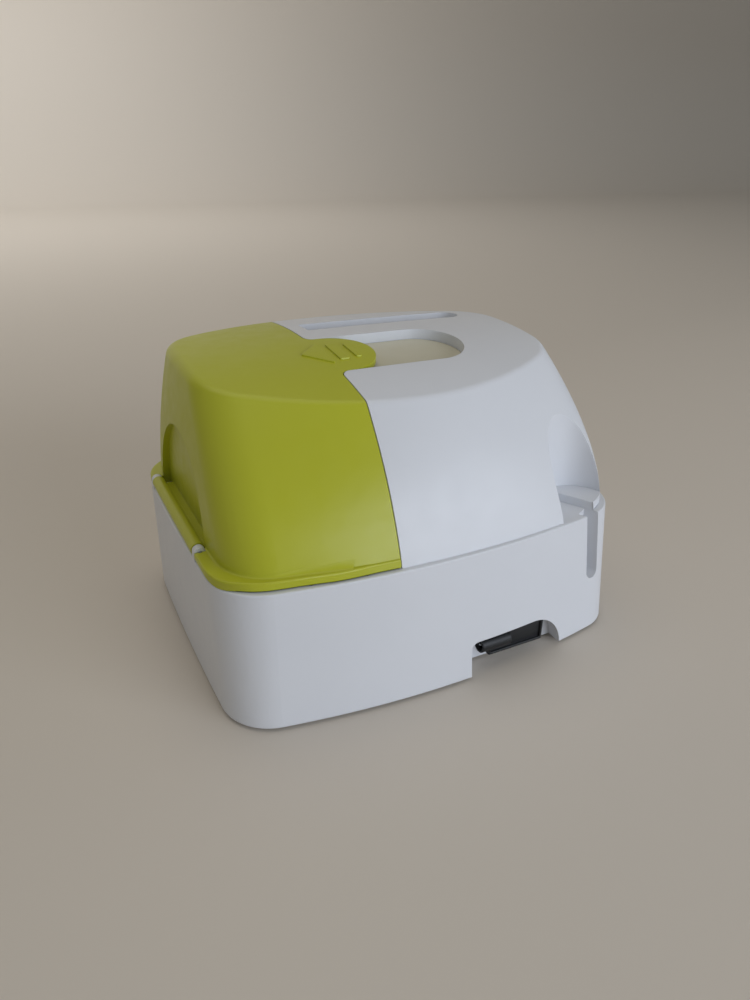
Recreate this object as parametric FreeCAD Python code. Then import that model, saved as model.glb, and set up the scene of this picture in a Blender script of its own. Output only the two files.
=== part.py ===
import FreeCAD, Part
import math
import os
from FreeCAD import Vector

# Countertop dispenser for infant formula powder, in millimetres.
# X runs along the long side to the right, Y to the rear, Z up from the surface that it stands on.
# Here Y = 0 lies near the middle of the dome; save() moves the origin to the footprint's centre.

# ---- overall form ------------------------------------------------------------------------
BASE_HALF_LENGTH = 109.0      # at the foot and at the rim
FOOT_FRONT_Y = -104.0         # the front wall flares towards the foot, the rear is upright
RIM_FRONT_Y = -96.0
REAR_Y = 77.0
FOOT_GAP = 1.5                # the wall's lower edge stands this far off the surface
BASE_HEIGHT = 65.0
DOME_HEIGHT = 77.5
FRONT_BOW = 475.0             # plan radius of the long walls
END_BOW = 1800.0              # plan radius of the end walls
FOOT_CORNER = 25.0
RIM_CORNER = 27.0

DOME_FOOT_HALF = (105.4, 83.3)     # plan half sizes of the dome where it meets the rim
DOME_TOP_HALF = (98.5, 64.0)       # and at its upper crease
DOME_FOOT_RADII = (475.0, 1800.0, 25.0)
DOME_TOP_RADII = (185.0, 300.0, 30.0)
DOME_FOOT_CENTRE = (2.6, -7.7)
DOME_TOP_CENTRE = (1.3, 9.0)
DOME_RISE = 69.0              # height of the loft's nominal crease over the rim
DOME_SWELL = (2.4, 1.57)      # exponents of the end walls' and the long walls' swelling
CROWN_RADIUS = 330.0          # front to rear
CROWN_BARREL = 4000.0         # end to end
CROWN_Y = 32.0
CREASE_FILLET = 5.0
RIM_ROUND = 0.8               # on the base's upper and lower outer edges
LIP_ROUND = 0.9               # on the upper outer edge of the lid's and the cover's lip

# ---- walls and clearances ----------------------------------------------------------------
BASE_WALL = 2.6
DECK = 3.0
SHELL_WALL = 2.5
SEAM_GAP = 0.5
FIT_GAP = 0.3
SHAFT_GAP = 0.05
SEAM_X = -28.0

# ---- lid and its hinge -------------------------------------------------------------------
FLANGE_HEIGHT = 4.4
HINGE_X = -105.7
BARREL_RADIUS = 3.2
HINGE_PIN_RADIUS = 1.2
BARREL_Y = (-43.5, 36.5)
LUG_WIDTH = 4.0
ARCH_CENTRE_Y = -1.0
ARCH_HALF_WIDTH = 42.5
ARCH_RISE = 46.0
ARCH_WALL_X = -98.2
ARCH_OUTSIDE = 140.0          # the recess's cutter starts this far left, clear of the lid
TONGUE_CENTRE = (-22.0, -6.5)
TONGUE_RADIUS = 21.0
TONGUE_THICK = 3.0
TONGUE_FILLET = 5.0

# ---- top cover ---------------------------------------------------------------------------
PILL_END_X = 29.0
PILL_RADIUS = 21.5
PILL_DEPTH = 6.0
PILL_SLOPE = 6.5              # degrees, as the crown slopes there
PILL_INSERT = 1.2
TROUGH_X = (-19.5, 78.0)
TROUGH_Y = 39.5
TROUGH_WIDTH = 15.0
TROUGH_DEPTH = 8.5
SCOOP_CENTRE = (81.6, -78.8)
SCOOP_RADIUS = 18.5
LEDGE_ANGLE = 28.5            # degrees from the front direction towards the right
LEDGE_POINT = (89.5, -87.5)
END_LIP_POINT = (92.0, 68.0)  # where the cover's lip ends behind

# ---- base details ------------------------------------------------------------------------
SLOT_WIDTH = 8.5
SLOT_HEIGHT = 36.0
SLOT_DEPTH = 7.5
BAY_X = (6.8, 64.0)
BAY_TOP = 20.0
BAY_RADII = (4.0, 19.0)
BAY_BACK_Y = -91.0
BAY_WALL = 2.0
PLATE_THICK = 2.5
FOOT_PAD_RADIUS = 7.0
PLATE_RECESS = 0.5            # of the plate above the wall's lower edge
FOOT_PAD_RADIUS = 7.0
FOOT_PAD_PLACES = [(-84.0, -74.0), (-82.0, 50.0), (84.0, -66.0), (82.0, 50.0)]
POST_RADIUS = 4.0
BOSS_PLACES = [(-96.0, -60.0), (-96.0, 50.0), (94.0, -52.0), (94.0, 50.0)]
COVER_BOSSES = [(-19.0, -85.0), (-19.0, 70.0), (50.0, -82.5), (96.5, 57.5)]
COVER_BOSS_HEIGHT = 14.0
SCREW_RADIUS = 1.5
SCREW_HEAD = (2.8, 1.6)       # radius and height

# ---- dosing unit -------------------------------------------------------------------------
AXIS_X = -62.0
HOPPER_HALF = (28.5, 42.0)
HOPPER_Y = 4.0
HOPPER_CORNER = 18.0
HOPPER_WALL = 2.0
HOPPER_RISE = 47.0            # of the tub's mouth over the rim
HOPPER_LIP = (3.5, 2.5)       # width and thickness of the flange that hangs on the deck
FUNNEL_FOOT_Z = 46.0
WHEEL_RADIUS = 35.0
WHEEL_HEIGHT = 10.0
POCKET_COUNT = 6
POCKET_RADIUS = 6.5
POCKET_PITCH = 25.5
POT_WALL = 2.5
POT_HEIGHT = 19.0
SCRAPER_THICK = 1.2
SCRAPER_ANGLE = 76.0          # degrees, the sector that it keeps free of powder
CHUTE_WALL = 1.5
SHAFT_RADIUS = 3.0
SHAFT_TOP_Z = 72.0
BUSH_WALL = 1.5
IDLER_PIN_RADIUS = 2.0
GEAR_MODULE = 1.25
GEAR_WIDTH = 6.0
GEAR_Z = 9.5
DRIVE_TEETH = 24
IDLER_TEETH = 40
PINION_TEETH = 16
GEAR_BACKLASH = 0.25
SUB_PLATE_Z = 18.5
SUB_PLATE_THICK = 2.5
SUB_PLATE_X = (-101.0, 38.0)
SUB_PLATE_HALF_Y = 39.5
SUB_POSTS = [(-97.0, -35.5), (-97.0, 35.5), (33.5, -35.0), (33.5, 35.0)]
MOTOR_RADIUS = 18.0
MOTOR_HEIGHT = 36.0
MOTOR_SHAFT_RADIUS = 2.5
MOTOR_SCREW_PITCH = 13.0
AGITATOR_REACH = 22.0
AGITATOR_LEVELS = (50.0, 57.0, 64.0)

# ---- electrical parts --------------------------------------------------------------------
BOARD_X = (46.0, 96.0)
BOARD_Y = (-34.0, 44.0)
BOARD_Z = 28.0
BOARD_THICK = 1.6
JACK_X = 14.3
JACK_Z = 14.0
JACK_RADIUS = 4.0
JACK_Y = (-97.0, -80.0)
BLOCK_X = (21.0, 54.0)
BLOCK_Z = (5.2, 14.7)
BLOCK_Y = (-97.0, -84.0)
BLOCK_CHAMFER = 4.0

RIM_Z = FOOT_GAP + BASE_HEIGHT
TOP_Z = RIM_Z + DOME_HEIGHT
AXIS_Z = RIM_Z + BARREL_RADIUS + 0.15
LUG_GAP = 0.3
PLATE_Z = FOOT_GAP + PLATE_RECESS
PLATE_TOP = PLATE_Z + PLATE_THICK
POT_Z = SUB_PLATE_Z + SUB_PLATE_THICK
WHEEL_Z = POT_Z + POT_WALL + FIT_GAP
SCRAPER_Z = WHEEL_Z + WHEEL_HEIGHT + FIT_GAP
THROAT_RADIUS = WHEEL_RADIUS + FIT_GAP - SHAFT_GAP
HOPPER_TOP = RIM_Z + HOPPER_RISE
IDLER_X = AXIS_X + GEAR_MODULE * (DRIVE_TEETH + IDLER_TEETH) / 2
MOTOR_X = IDLER_X + GEAR_MODULE * (IDLER_TEETH + PINION_TEETH) / 2
UP = Vector(0, 0, 1)
REAR = Vector(0, 1, 0)
RIGHT = Vector(1, 0, 0)


# ---- geometry helpers --------------------------------------------------------------------
def save(name, shape):
    """Write one node's STEP file, moved so that the origin is the centre of the footprint."""
    shape.translate(Vector(0, -(FOOT_FRONT_Y + REAR_Y) / 2, 0))
    shape.exportStep("parts/" + name + ".step")


def cylinder(radius, height, x, y, z, axis=UP):
    """A cylinder that starts at x, y, z and runs along axis."""
    return Part.makeCylinder(radius, height, Vector(x, y, z), axis)


def box(x, y, z):
    """A box between three pairs of limits."""
    return Part.makeBox(x[1] - x[0], y[1] - y[0], z[1] - z[0], Vector(x[0], y[0], z[0]))


def bowed_wire(half, radii, z, inset=0.0, centre=(0.0, 0.0)):
    """Rounded rectangle with bowed sides: radii are those of the long sides, ends and corners."""
    a, b = half[0] - inset, half[1] - inset
    side, end, corner = radii[0] - inset, radii[1] - inset, max(radii[2] - inset, 1.0)
    side_c = Vector(0, b - side, 0)
    end_c = Vector(a - end, 0, 0)
    span = end_c.sub(side_c)
    gap = span.Length
    along = ((side - corner) ** 2 - (end - corner) ** 2 + gap * gap) / (2 * gap)
    off = math.sqrt((side - corner) ** 2 - along * along)
    unit = span.multiply(1 / gap)
    corner_c = side_c + unit * along + Vector(unit.y, -unit.x, 0) * off
    t_side = side_c + (corner_c - side_c).normalize() * side
    t_end = end_c + (corner_c - end_c).normalize() * end
    mid = corner_c + ((t_side + t_end) * 0.5 - corner_c).normalize() * corner

    def turned(point, sx, sy):
        return Vector(point.x * sx + centre[0], point.y * sy + centre[1], z)

    arcs = []
    for sx, sy in ((1, 1), (-1, 1), (-1, -1), (1, -1)):
        first, last = (t_end, t_side) if sx == sy else (t_side, t_end)
        arcs.append(Part.Arc(turned(first, sx, sy), turned(mid, sx, sy), turned(last, sx, sy)))
        if sx == sy:
            arcs.append(Part.Arc(turned(last, sx, sy), turned(Vector(0, b, 0), 1, sy), turned(last, -sx, sy)))
        else:
            arcs.append(Part.Arc(turned(last, sx, sy), turned(Vector(a, 0, 0), sx, 1), turned(last, sx, -sy)))
    return Part.Wire([arc.toShape() for arc in arcs])


def base_outline(share, z, inset=0.0):
    """The base's outline, from the foot at share 0 to the rim at share 1."""
    front = blend(FOOT_FRONT_Y, RIM_FRONT_Y, share)
    half = (BASE_HALF_LENGTH, (REAR_Y - front) / 2)
    radii = (FRONT_BOW, END_BOW, blend(FOOT_CORNER, RIM_CORNER, share))
    return bowed_wire(half, radii, z, inset, (0.0, (REAR_Y + front) / 2))


def base_form(inset, low, high):
    """The flared base form between two heights, inset from its outer surface."""
    wires = [base_outline((z - FOOT_GAP) / BASE_HEIGHT, z, inset) for z in (low, high)]
    return Part.makeLoft(wires, True, True)


def rounded_base():
    """The base's outer form with its rim and its foot eased."""
    form = base_form(0, FOOT_GAP, RIM_Z)
    flat = [e for e in form.Edges if e.BoundBox.ZLength < RIM_ROUND]
    return form.makeFillet(RIM_ROUND, flat)


def rim_lip():
    """A flat lip over the whole rim, flush with it, with its upper edge rounded."""
    lip = Part.Face(base_outline(1.0, RIM_Z)).extrude(Vector(0, 0, FLANGE_HEIGHT))
    top = [e for e in lip.Edges if e.BoundBox.ZMin > RIM_Z + FLANGE_HEIGHT / 2]
    return lip.makeFillet(LIP_ROUND, top)


def blend(low, high, share, inverse=False):
    """Linear blend of two values, or of their curvatures."""
    if inverse:
        return 1.0 / (1.0 / low + (1.0 / high - 1.0 / low) * share)
    return low + (high - low) * share


def dome_form(inset):
    """The dome over the rim: swelling lofted walls cut by a barrel-shaped crown."""
    wires = []
    for t in (0.0, 0.2, 0.42, 0.64, 0.84, 1.0, 1.16):
        share = [t ** power for power in DOME_SWELL]
        half = [blend(DOME_FOOT_HALF[k], DOME_TOP_HALF[k], share[k]) for k in (0, 1)]
        centre = [blend(DOME_FOOT_CENTRE[k], DOME_TOP_CENTRE[k], share[k]) for k in (0, 1)]
        radii = [blend(DOME_FOOT_RADII[k], DOME_TOP_RADII[k], share[1], k < 2) for k in (0, 1, 2)]
        wires.append(bowed_wire(half, radii, RIM_Z + DOME_RISE * t, inset, centre))
    walls = Part.makeLoft(wires, True, False)
    return walls.common(crown_form(inset))


def crown_form(inset, length=240.0):
    """A lying barrel whose upper side is the crown of the dome."""
    mid_z = TOP_Z - CROWN_RADIUS
    reach = length / 2
    low = mid_z - CROWN_RADIUS + inset
    high = low + reach * reach / (2 * CROWN_BARREL)
    arc = Part.Arc(Vector(-reach, CROWN_Y, high), Vector(0, CROWN_Y, low), Vector(reach, CROWN_Y, high))
    left = Vector(-reach, CROWN_Y, mid_z)
    right = Vector(reach, CROWN_Y, mid_z)
    edges = [arc.toShape(), Part.makeLine(Vector(reach, CROWN_Y, high), right)]
    edges += [Part.makeLine(right, left), Part.makeLine(left, Vector(-reach, CROWN_Y, high))]
    return Part.Face(Part.Wire(edges)).revolve(left, RIGHT, 360)


def rounded_dome():
    """The dome with its upper crease rounded over."""
    dome = dome_form(0)
    crease = [e for e in dome.Edges if e.BoundBox.ZMin > RIM_Z + DOME_HEIGHT / 2]
    return dome.makeFillet(CREASE_FILLET, crease)


def disc(x, y, radius, low, high):
    """An upright cylinder between two heights."""
    return cylinder(radius, high - low, x, y, low)


def ring(x, y, outer, inner, low, high):
    """An upright tube between two heights."""
    return disc(x, y, outer, low, high).cut(disc(x, y, inner, low, high))


def half_space(x, y, angle, size=300.0):
    """A block with one upright face through x, y; angle turns its inward normal from +X."""
    block = Part.makeBox(size, 2 * size, 2 * size, Vector(0, -size, -size))
    block.rotate(Vector(0, 0, 0), UP, angle)
    block.translate(Vector(x, y, 0))
    return block


def round_rect(half, corner, x, y, z):
    """A wire of four straight and four round edges, starting behind the right-hand front corner."""
    a, b = half
    c = corner
    d = c * (1 - math.sqrt(0.5))
    marks = [(a, -b + c), (a, b - c), (a - c, b), (-a + c, b), (-a, b - c), (-a, -b + c), (-a + c, -b), (a - c, -b)]
    middles = [(a - d, b - d), (-a + d, b - d), (-a + d, -b + d), (a - d, -b + d)]
    points = [Vector(x + px, y + py, z) for px, py in marks]
    edges = []
    for k in range(4):
        start, stop = points[2 * k], points[2 * k + 1]
        middle = Vector(x + middles[k][0], y + middles[k][1], z)
        edges.append(Part.makeLine(start, stop))
        edges.append(Part.Arc(stop, middle, points[(2 * k + 2) % 8]).toShape())
    return Part.Wire(edges)


def rect_prism(half, corner, x, y, low, high):
    """An upright prism with rounded corners."""
    return Part.Face(round_rect(half, corner, x, y, low)).extrude(Vector(0, 0, high - low))


def ring_wire(radius, x, y, z, share):
    """A circle in eight arcs that pair with a rounded rectangle's edges."""
    cuts = []
    for quarter in range(4):
        cuts += [quarter * 90 - 45 * share, quarter * 90 + 45 * share]
    edges = []
    for k, angle in enumerate(cuts):
        after = cuts[(k + 1) % 8] + (360 if k == 7 else 0)
        points = []
        for turn in (angle, (angle + after) / 2, after):
            rad = math.radians(turn)
            points.append(Vector(x + radius * math.cos(rad), y + radius * math.sin(rad), z))
        edges.append(Part.Arc(*points).toShape())
    return Part.Wire(edges)


# ---- cutters that neighbouring pieces share ----------------------------------------------
def bay_prism(grow, front, back):
    """The connector bay's outline in the front wall, as a prism along Y."""
    left, right = BAY_X[0] - grow, BAY_X[1] + grow
    top = BAY_TOP + grow
    small, large = BAY_RADII[0] + grow, BAY_RADII[1] + grow
    low = FOOT_GAP - 2
    skew = 1 - math.sqrt(0.5)
    marks = [
        (left, low), (left, top - small), (left + small * skew, top - small * skew), (left + small, top),
        (right - large, top), (right - large * skew, top - large * skew), (right, top - large), (right, low),
    ]
    p = [Vector(x, front, z) for x, z in marks]
    edges = [
        Part.makeLine(p[0], p[1]),
        Part.Arc(p[1], p[2], p[3]).toShape(),
        Part.makeLine(p[3], p[4]),
        Part.Arc(p[4], p[5], p[6]).toShape(),
        Part.makeLine(p[6], p[7]),
        Part.makeLine(p[7], p[0]),
    ]
    return Part.Face(Part.Wire(edges)).extrude(Vector(0, back - front, 0))


def ledge_space(left_side):
    """The half space on one side of the upright plane that ends the ledge."""
    angle = LEDGE_ANGLE + (180 if left_side else 0)
    return half_space(LEDGE_POINT[0], LEDGE_POINT[1], angle)


def slot_prism(grow, depth):
    """The finger slot in the front right-hand corner: upright, round at its foot."""
    width = SLOT_WIDTH + 2 * grow
    foot = RIM_Z - SLOT_HEIGHT - grow
    tall = box((-width, 0), (-20, depth), (foot + width / 2, RIM_Z + 5))
    bottom = cylinder(width / 2, 20 + depth, -width / 2, -20, foot + width / 2, REAR)
    slot = tall.fuse(bottom)
    slot.translate(Vector(grow, 0, 0))
    slot.rotate(Vector(0, 0, 0), UP, LEDGE_ANGLE)
    slot.translate(Vector(LEDGE_POINT[0], LEDGE_POINT[1], 0))
    return slot


def tongue_prism(grow):
    """The lid's tongue seen from above: a half disc that runs into the seam with round corners."""
    cx, cy = TONGUE_CENTRE
    radius = TONGUE_RADIUS + grow
    seam = SEAM_X - SEAM_GAP / 2 + grow
    low, high = RIM_Z, TOP_Z + 5
    shapes = [disc(cx, cy, radius, low, high), box((seam - 4, cx), (cy - radius, cy + radius), (low, high))]
    corner = TONGUE_FILLET - grow
    for side in (-1, 1):
        edge = cy + side * radius
        web = box((seam - 1, seam + corner), sorted((edge - side, edge + side * corner)), (low, high))
        shapes.append(web.cut(disc(seam + corner, edge + side * corner, corner, low - 1, high + 1)))
    return shapes[0].multiFuse(shapes[1:])


def above_pill_floor(drop):
    """The space over the sloping floor of the pill recess, lowered by drop."""
    y = TONGUE_CENTRE[1]
    crown = TOP_Z - (y - CROWN_Y) ** 2 / (2 * CROWN_RADIUS)
    block = Part.makeBox(300, 300, 60, Vector(-150, -150, 0))
    block.rotate(Vector(0, 0, 0), RIGHT, PILL_SLOPE)
    block.translate(Vector(0, y, crown - PILL_DEPTH - drop))
    return block


def pill_prism(grow, left):
    """The pill recess seen from above, starting at x = left."""
    y = TONGUE_CENTRE[1]
    radius = PILL_RADIUS + grow
    low, high = RIM_Z + 30, TOP_Z + 5
    straight = box((left, PILL_END_X), (y - radius, y + radius), (low, high))
    return straight.fuse(disc(PILL_END_X, y, radius, low, high))


def trough_prism(grow):
    """The long trough near the rear edge: square at the seam end, round at the other."""
    half = TROUGH_WIDTH / 2 + grow
    low, high = TOP_Z - TROUGH_DEPTH - grow, TOP_Z + 5
    end = TROUGH_X[1] + grow - half
    straight = box((TROUGH_X[0] - grow, end), (TROUGH_Y - half, TROUGH_Y + half), (low, high))
    return straight.fuse(disc(end, TROUGH_Y, half, low, high))


def arch_prism(grow, inner_x):
    """The arched recess over the hinge, cut in from the left-hand end to inner_x."""
    ellipse = Part.Ellipse(Vector(0, 0, 0), ARCH_RISE + grow, ARCH_HALF_WIDTH + grow)
    arch = Part.Face(Part.Wire([ellipse.toShape()])).extrude(Vector(0, 0, inner_x + ARCH_OUTSIDE))
    arch.rotate(Vector(0, 0, 0), REAR, 90)
    arch.translate(Vector(-ARCH_OUTSIDE, ARCH_CENTRE_Y, RIM_Z))
    return arch


def hopper_well(grow):
    """The opening in the deck that the hopper's body passes through."""
    half = (HOPPER_HALF[0] + grow, HOPPER_HALF[1] + grow)
    return rect_prism(half, HOPPER_CORNER + grow, AXIS_X, HOPPER_Y, RIM_Z - DECK - 5, RIM_Z + 5)


def lug_spans():
    """The Y ranges of the two hinge lugs, just outside the ends of the lid's barrel."""
    front = BARREL_Y[0] - LUG_GAP
    rear = BARREL_Y[1] + LUG_GAP
    return [(front - LUG_WIDTH, front), (rear, rear + LUG_WIDTH)]


# ---- housing -----------------------------------------------------------------------------
def base_housing():
    """Lower housing: flared walls, deck, connector bay, finger slot, hinge lugs and screw posts."""
    outer = rounded_base()
    hollow = base_form(BASE_WALL, FOOT_GAP - 1, RIM_Z - DECK)
    inside = outer.common(hollow)
    bay_lining = bay_prism(BAY_WALL, FOOT_FRONT_Y, BAY_BACK_Y + BAY_WALL).common(inside)
    slot_lining = slot_prism(BASE_WALL, SLOT_DEPTH + BASE_WALL).common(inside)
    posts = [disc(x, y, POST_RADIUS, PLATE_TOP, RIM_Z - 1) for x, y in BOSS_PLACES]
    shell = outer.cut(hollow).multiFuse([bay_lining, slot_lining] + posts)
    cuts = [bay_prism(0, FOOT_FRONT_Y - 5, BAY_BACK_Y), slot_prism(0, SLOT_DEPTH), hopper_well(FIT_GAP)]
    cuts += [disc(x, y, SCREW_RADIUS + SHAFT_GAP, FOOT_GAP, PLATE_TOP + 14) for x, y in BOSS_PLACES]
    cuts += [disc(x, y, SCREW_RADIUS + SHAFT_GAP, RIM_Z - 10, RIM_Z + 1) for x, y in COVER_BOSSES]
    cuts.append(cylinder(JACK_RADIUS + SHAFT_GAP, 10, JACK_X, BAY_BACK_Y - 3, JACK_Z, REAR))
    cuts.append(connector_form(SHAFT_GAP))
    return shell.multiFuse(hinge_lugs()).cut(cuts[0].multiFuse(cuts[1:])).cut(pin_bore())


def hinge_lugs():
    """Two round-topped lugs that stand on the deck and hold the hinge pin."""
    lugs = []
    radius = BARREL_RADIUS - 0.4
    for low, high in lug_spans():
        eye = cylinder(radius, high - low, HINGE_X, low, AXIS_Z, REAR)
        foot = box((HINGE_X - radius, HINGE_X + radius), (low, high), (RIM_Z - 1, AXIS_Z))
        lugs += [eye, foot]
    return lugs


def pin_bore():
    """The bore for the hinge pin through both lugs and the lid's barrel."""
    low = lug_spans()[0][0]
    high = lug_spans()[1][1]
    return cylinder(HINGE_PIN_RADIUS + SHAFT_GAP, high - low + 2, HINGE_X, low - 1, AXIS_Z, REAR)


def hinge_pin():
    """Steel pin, pressed through from the front lug to the rear one."""
    low = lug_spans()[0][0]
    high = lug_spans()[1][1]
    pin = cylinder(HINGE_PIN_RADIUS, high - low, HINGE_X, low, AXIS_Z, REAR)
    return pin.makeChamfer(0.3, [e for e in pin.Edges if e.Closed])


def bottom_plate():
    """Inset floor plate with the posts that carry the dosing unit and the board."""
    inset = BASE_WALL + FIT_GAP
    plate = base_form(inset, PLATE_Z, PLATE_TOP)
    posts = [disc(x, y, POST_RADIUS, PLATE_Z, SUB_PLATE_Z) for x, y in SUB_POSTS]
    posts += [disc(x, y, POST_RADIUS - 1, PLATE_Z, BOARD_Z) for x, y in board_posts()]
    posts.append(disc(AXIS_X, 0, SHAFT_RADIUS + BUSH_WALL + 2.5, PLATE_Z, GEAR_Z - FIT_GAP))
    posts.append(disc(IDLER_X, 0, IDLER_PIN_RADIUS + 2, PLATE_Z, GEAR_Z - FIT_GAP))
    slot = slot_prism(BASE_WALL + FIT_GAP, SLOT_DEPTH + BASE_WALL + FIT_GAP)
    cuts = [bay_prism(BAY_WALL + FIT_GAP, FOOT_FRONT_Y - 5, BAY_BACK_Y + BAY_WALL + FIT_GAP), slot]
    for x, y in BOSS_PLACES:
        cuts.append(disc(x, y, SCREW_RADIUS + 0.2, FOOT_GAP, PLATE_TOP + 1))
        cuts.append(disc(x, y, SCREW_HEAD[0] + 0.2, FOOT_GAP, PLATE_Z + SCREW_HEAD[1]))
    for x, y in SUB_POSTS:
        cuts.append(disc(x, y, SCREW_RADIUS + SHAFT_GAP, SUB_PLATE_Z - 9, SUB_PLATE_Z + 1))
    cuts.append(disc(AXIS_X, -POCKET_PITCH, chute_radius() + FIT_GAP, FOOT_GAP, PLATE_TOP + 1))
    cuts.append(disc(AXIS_X, 0, SHAFT_RADIUS + BUSH_WALL + SHAFT_GAP, PLATE_TOP, GEAR_Z))
    cuts.append(disc(IDLER_X, 0, IDLER_PIN_RADIUS + SHAFT_GAP, PLATE_TOP, GEAR_Z))
    return plate.multiFuse(posts).cut(cuts[0].multiFuse(cuts[1:]))


def screws(places, head_z, shank_top):
    """Pan-head screws driven upwards: one solid each, as a group."""
    made = []
    for x, y in places:
        head = disc(x, y, SCREW_HEAD[0], head_z, head_z + SCREW_HEAD[1])
        recess = disc(x, y, 1.0, head_z, head_z + SCREW_HEAD[1] / 2)
        made.append(head.cut(recess).fuse(disc(x, y, SCREW_RADIUS, head_z + SCREW_HEAD[1] - 0.1, shank_top)))
    return Part.makeCompound(made)


def rubber_feet():
    """Four pads that fill the gap under the bottom plate."""
    pads = []
    for x, y in FOOT_PAD_PLACES:
        pad = disc(x, y, FOOT_PAD_RADIUS, 0, PLATE_Z)
        pads.append(pad.makeChamfer(0.5, [e for e in pad.Edges if e.Closed and e.BoundBox.ZMax < 0.1]))
    return Part.makeCompound(pads)


# ---- lid ---------------------------------------------------------------------------------
def lid_flange():
    """The lip round the lid's foot, flush with the base, rolled under where it passes the hinge."""
    front, rear = lug_spans()
    gap = box((-150, ARCH_WALL_X + 1), (front[0] - LUG_GAP, rear[1] + LUG_GAP), (RIM_Z - 1, RIM_Z + 20))
    outside = box((-150, HINGE_X), (-150, 150), (RIM_Z - 1, RIM_Z + 20))
    outside = outside.cut(cylinder(BARREL_RADIUS, 300, HINGE_X, -150, AXIS_Z, REAR))
    return rim_lip().cut(gap).cut(outside)


def lid_shell():
    """Green lid: left-hand part of the dome with its lip, hinge barrel, arched recess and tongue."""
    keep = half_space(SEAM_X - SEAM_GAP / 2, 0, 180)
    outer = rounded_dome().fuse(lid_flange()).common(keep)
    outer = outer.cut(arch_prism(0, ARCH_WALL_X))
    hollow = dome_form(SHELL_WALL).cut(arch_prism(SHELL_WALL, ARCH_WALL_X + SHELL_WALL))
    skin = outer.cut(hollow)
    tongue = crown_form(0).cut(crown_form(TONGUE_THICK)).common(tongue_prism(0))
    length = BARREL_Y[1] - BARREL_Y[0]
    barrel = cylinder(BARREL_RADIUS, length, HINGE_X, BARREL_Y[0], AXIS_Z, REAR)
    web = box((HINGE_X, ARCH_WALL_X + 1), BARREL_Y, (AXIS_Z - BARREL_RADIUS, AXIS_Z - BARREL_RADIUS + 2))
    posts = [disc(x, y, 3.0, seal_plate_top(), TOP_Z) for x, y in liner_posts()]
    posts = [post.common(dome_form(SHELL_WALL / 2)) for post in posts]
    return skin.multiFuse([tongue, barrel, web] + posts).cut(pin_bore())


def liner_posts():
    """Where the lid's posts carry the liner plate."""
    reach = (HOPPER_HALF[0] - 9, HOPPER_HALF[1] - 9)
    return [(AXIS_X + sx * reach[0], HOPPER_Y + sy * reach[1]) for sx in (-1, 1) for sy in (-1, 1)]


def seal_plate_top():
    """Height of the liner plate's upper face."""
    return HOPPER_TOP + FIT_GAP + 2.0 + 2.5


def lid_seal():
    """Soft ring in the lid that lies on the hopper's mouth."""
    low = HOPPER_TOP + FIT_GAP
    outer = rect_prism(HOPPER_HALF, HOPPER_CORNER, AXIS_X, HOPPER_Y, low, low + 2.0)
    inner = (HOPPER_HALF[0] - 4, HOPPER_HALF[1] - 4)
    return outer.cut(rect_prism(inner, HOPPER_CORNER - 4, AXIS_X, HOPPER_Y, low - 1, low + 3))


def lid_liner():
    """Plate inside the lid that closes the hopper and carries the seal."""
    low = HOPPER_TOP + FIT_GAP + 2.0
    return rect_prism(HOPPER_HALF, HOPPER_CORNER, AXIS_X, HOPPER_Y, low, seal_plate_top())


# ---- top cover ---------------------------------------------------------------------------
def top_cover():
    """White cover: right-hand part of the dome with pill recess, trough, corner scoop and ledge."""
    keep = half_space(SEAM_X + SEAM_GAP / 2, 0, 0)
    end_lip = rim_lip().common(ledge_space(False))
    end_lip = end_lip.common(half_space(END_LIP_POINT[0], END_LIP_POINT[1], -LEDGE_ANGLE))
    outer = rounded_dome().fuse(end_lip).common(keep)
    scoop = disc(SCOOP_CENTRE[0], SCOOP_CENTRE[1], SCOOP_RADIUS, RIM_Z + FLANGE_HEIGHT, TOP_Z)
    below = disc(SCOOP_CENTRE[0], SCOOP_CENTRE[1], SCOOP_RADIUS, RIM_Z - 1, RIM_Z + FLANGE_HEIGHT + 1)
    cuts = [
        scoop,
        below.common(ledge_space(True)),
        tongue_prism(SEAM_GAP).common(above_pill_floor(PILL_INSERT)),
        trough_prism(0),
        pill_prism(0, SEAM_X - 5).common(above_pill_floor(PILL_INSERT)),
    ]
    hollow = dome_form(SHELL_WALL).common(half_space(SEAM_X + SEAM_GAP / 2 + SHELL_WALL, 0, 0))
    walls = [
        disc(SCOOP_CENTRE[0], SCOOP_CENTRE[1], SCOOP_RADIUS + SHELL_WALL, RIM_Z - 1, TOP_Z),
        trough_prism(SHELL_WALL),
        pill_prism(SHELL_WALL, SEAM_X - 5).common(above_pill_floor(PILL_INSERT + SHELL_WALL)),
        tongue_prism(SEAM_GAP + SHELL_WALL).common(above_pill_floor(PILL_INSERT + SHELL_WALL)),
    ]
    walls += [disc(x, y, POST_RADIUS, RIM_Z - 1, RIM_Z + COVER_BOSS_HEIGHT) for x, y in COVER_BOSSES]
    cover = outer.cut(hollow.cut(walls[0].multiFuse(walls[1:])))
    holes = [disc(x, y, SCREW_RADIUS + SHAFT_GAP, RIM_Z - 1, RIM_Z + 9) for x, y in COVER_BOSSES]
    return cover.cut(cuts[0].multiFuse(cuts[1:] + holes))


def pill_insert():
    """Cream plate on the floor of the pill recess."""
    outline = pill_prism(-FIT_GAP, SEAM_X + SEAM_GAP)
    return outline.common(above_pill_floor(PILL_INSERT).cut(above_pill_floor(0)))


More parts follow.
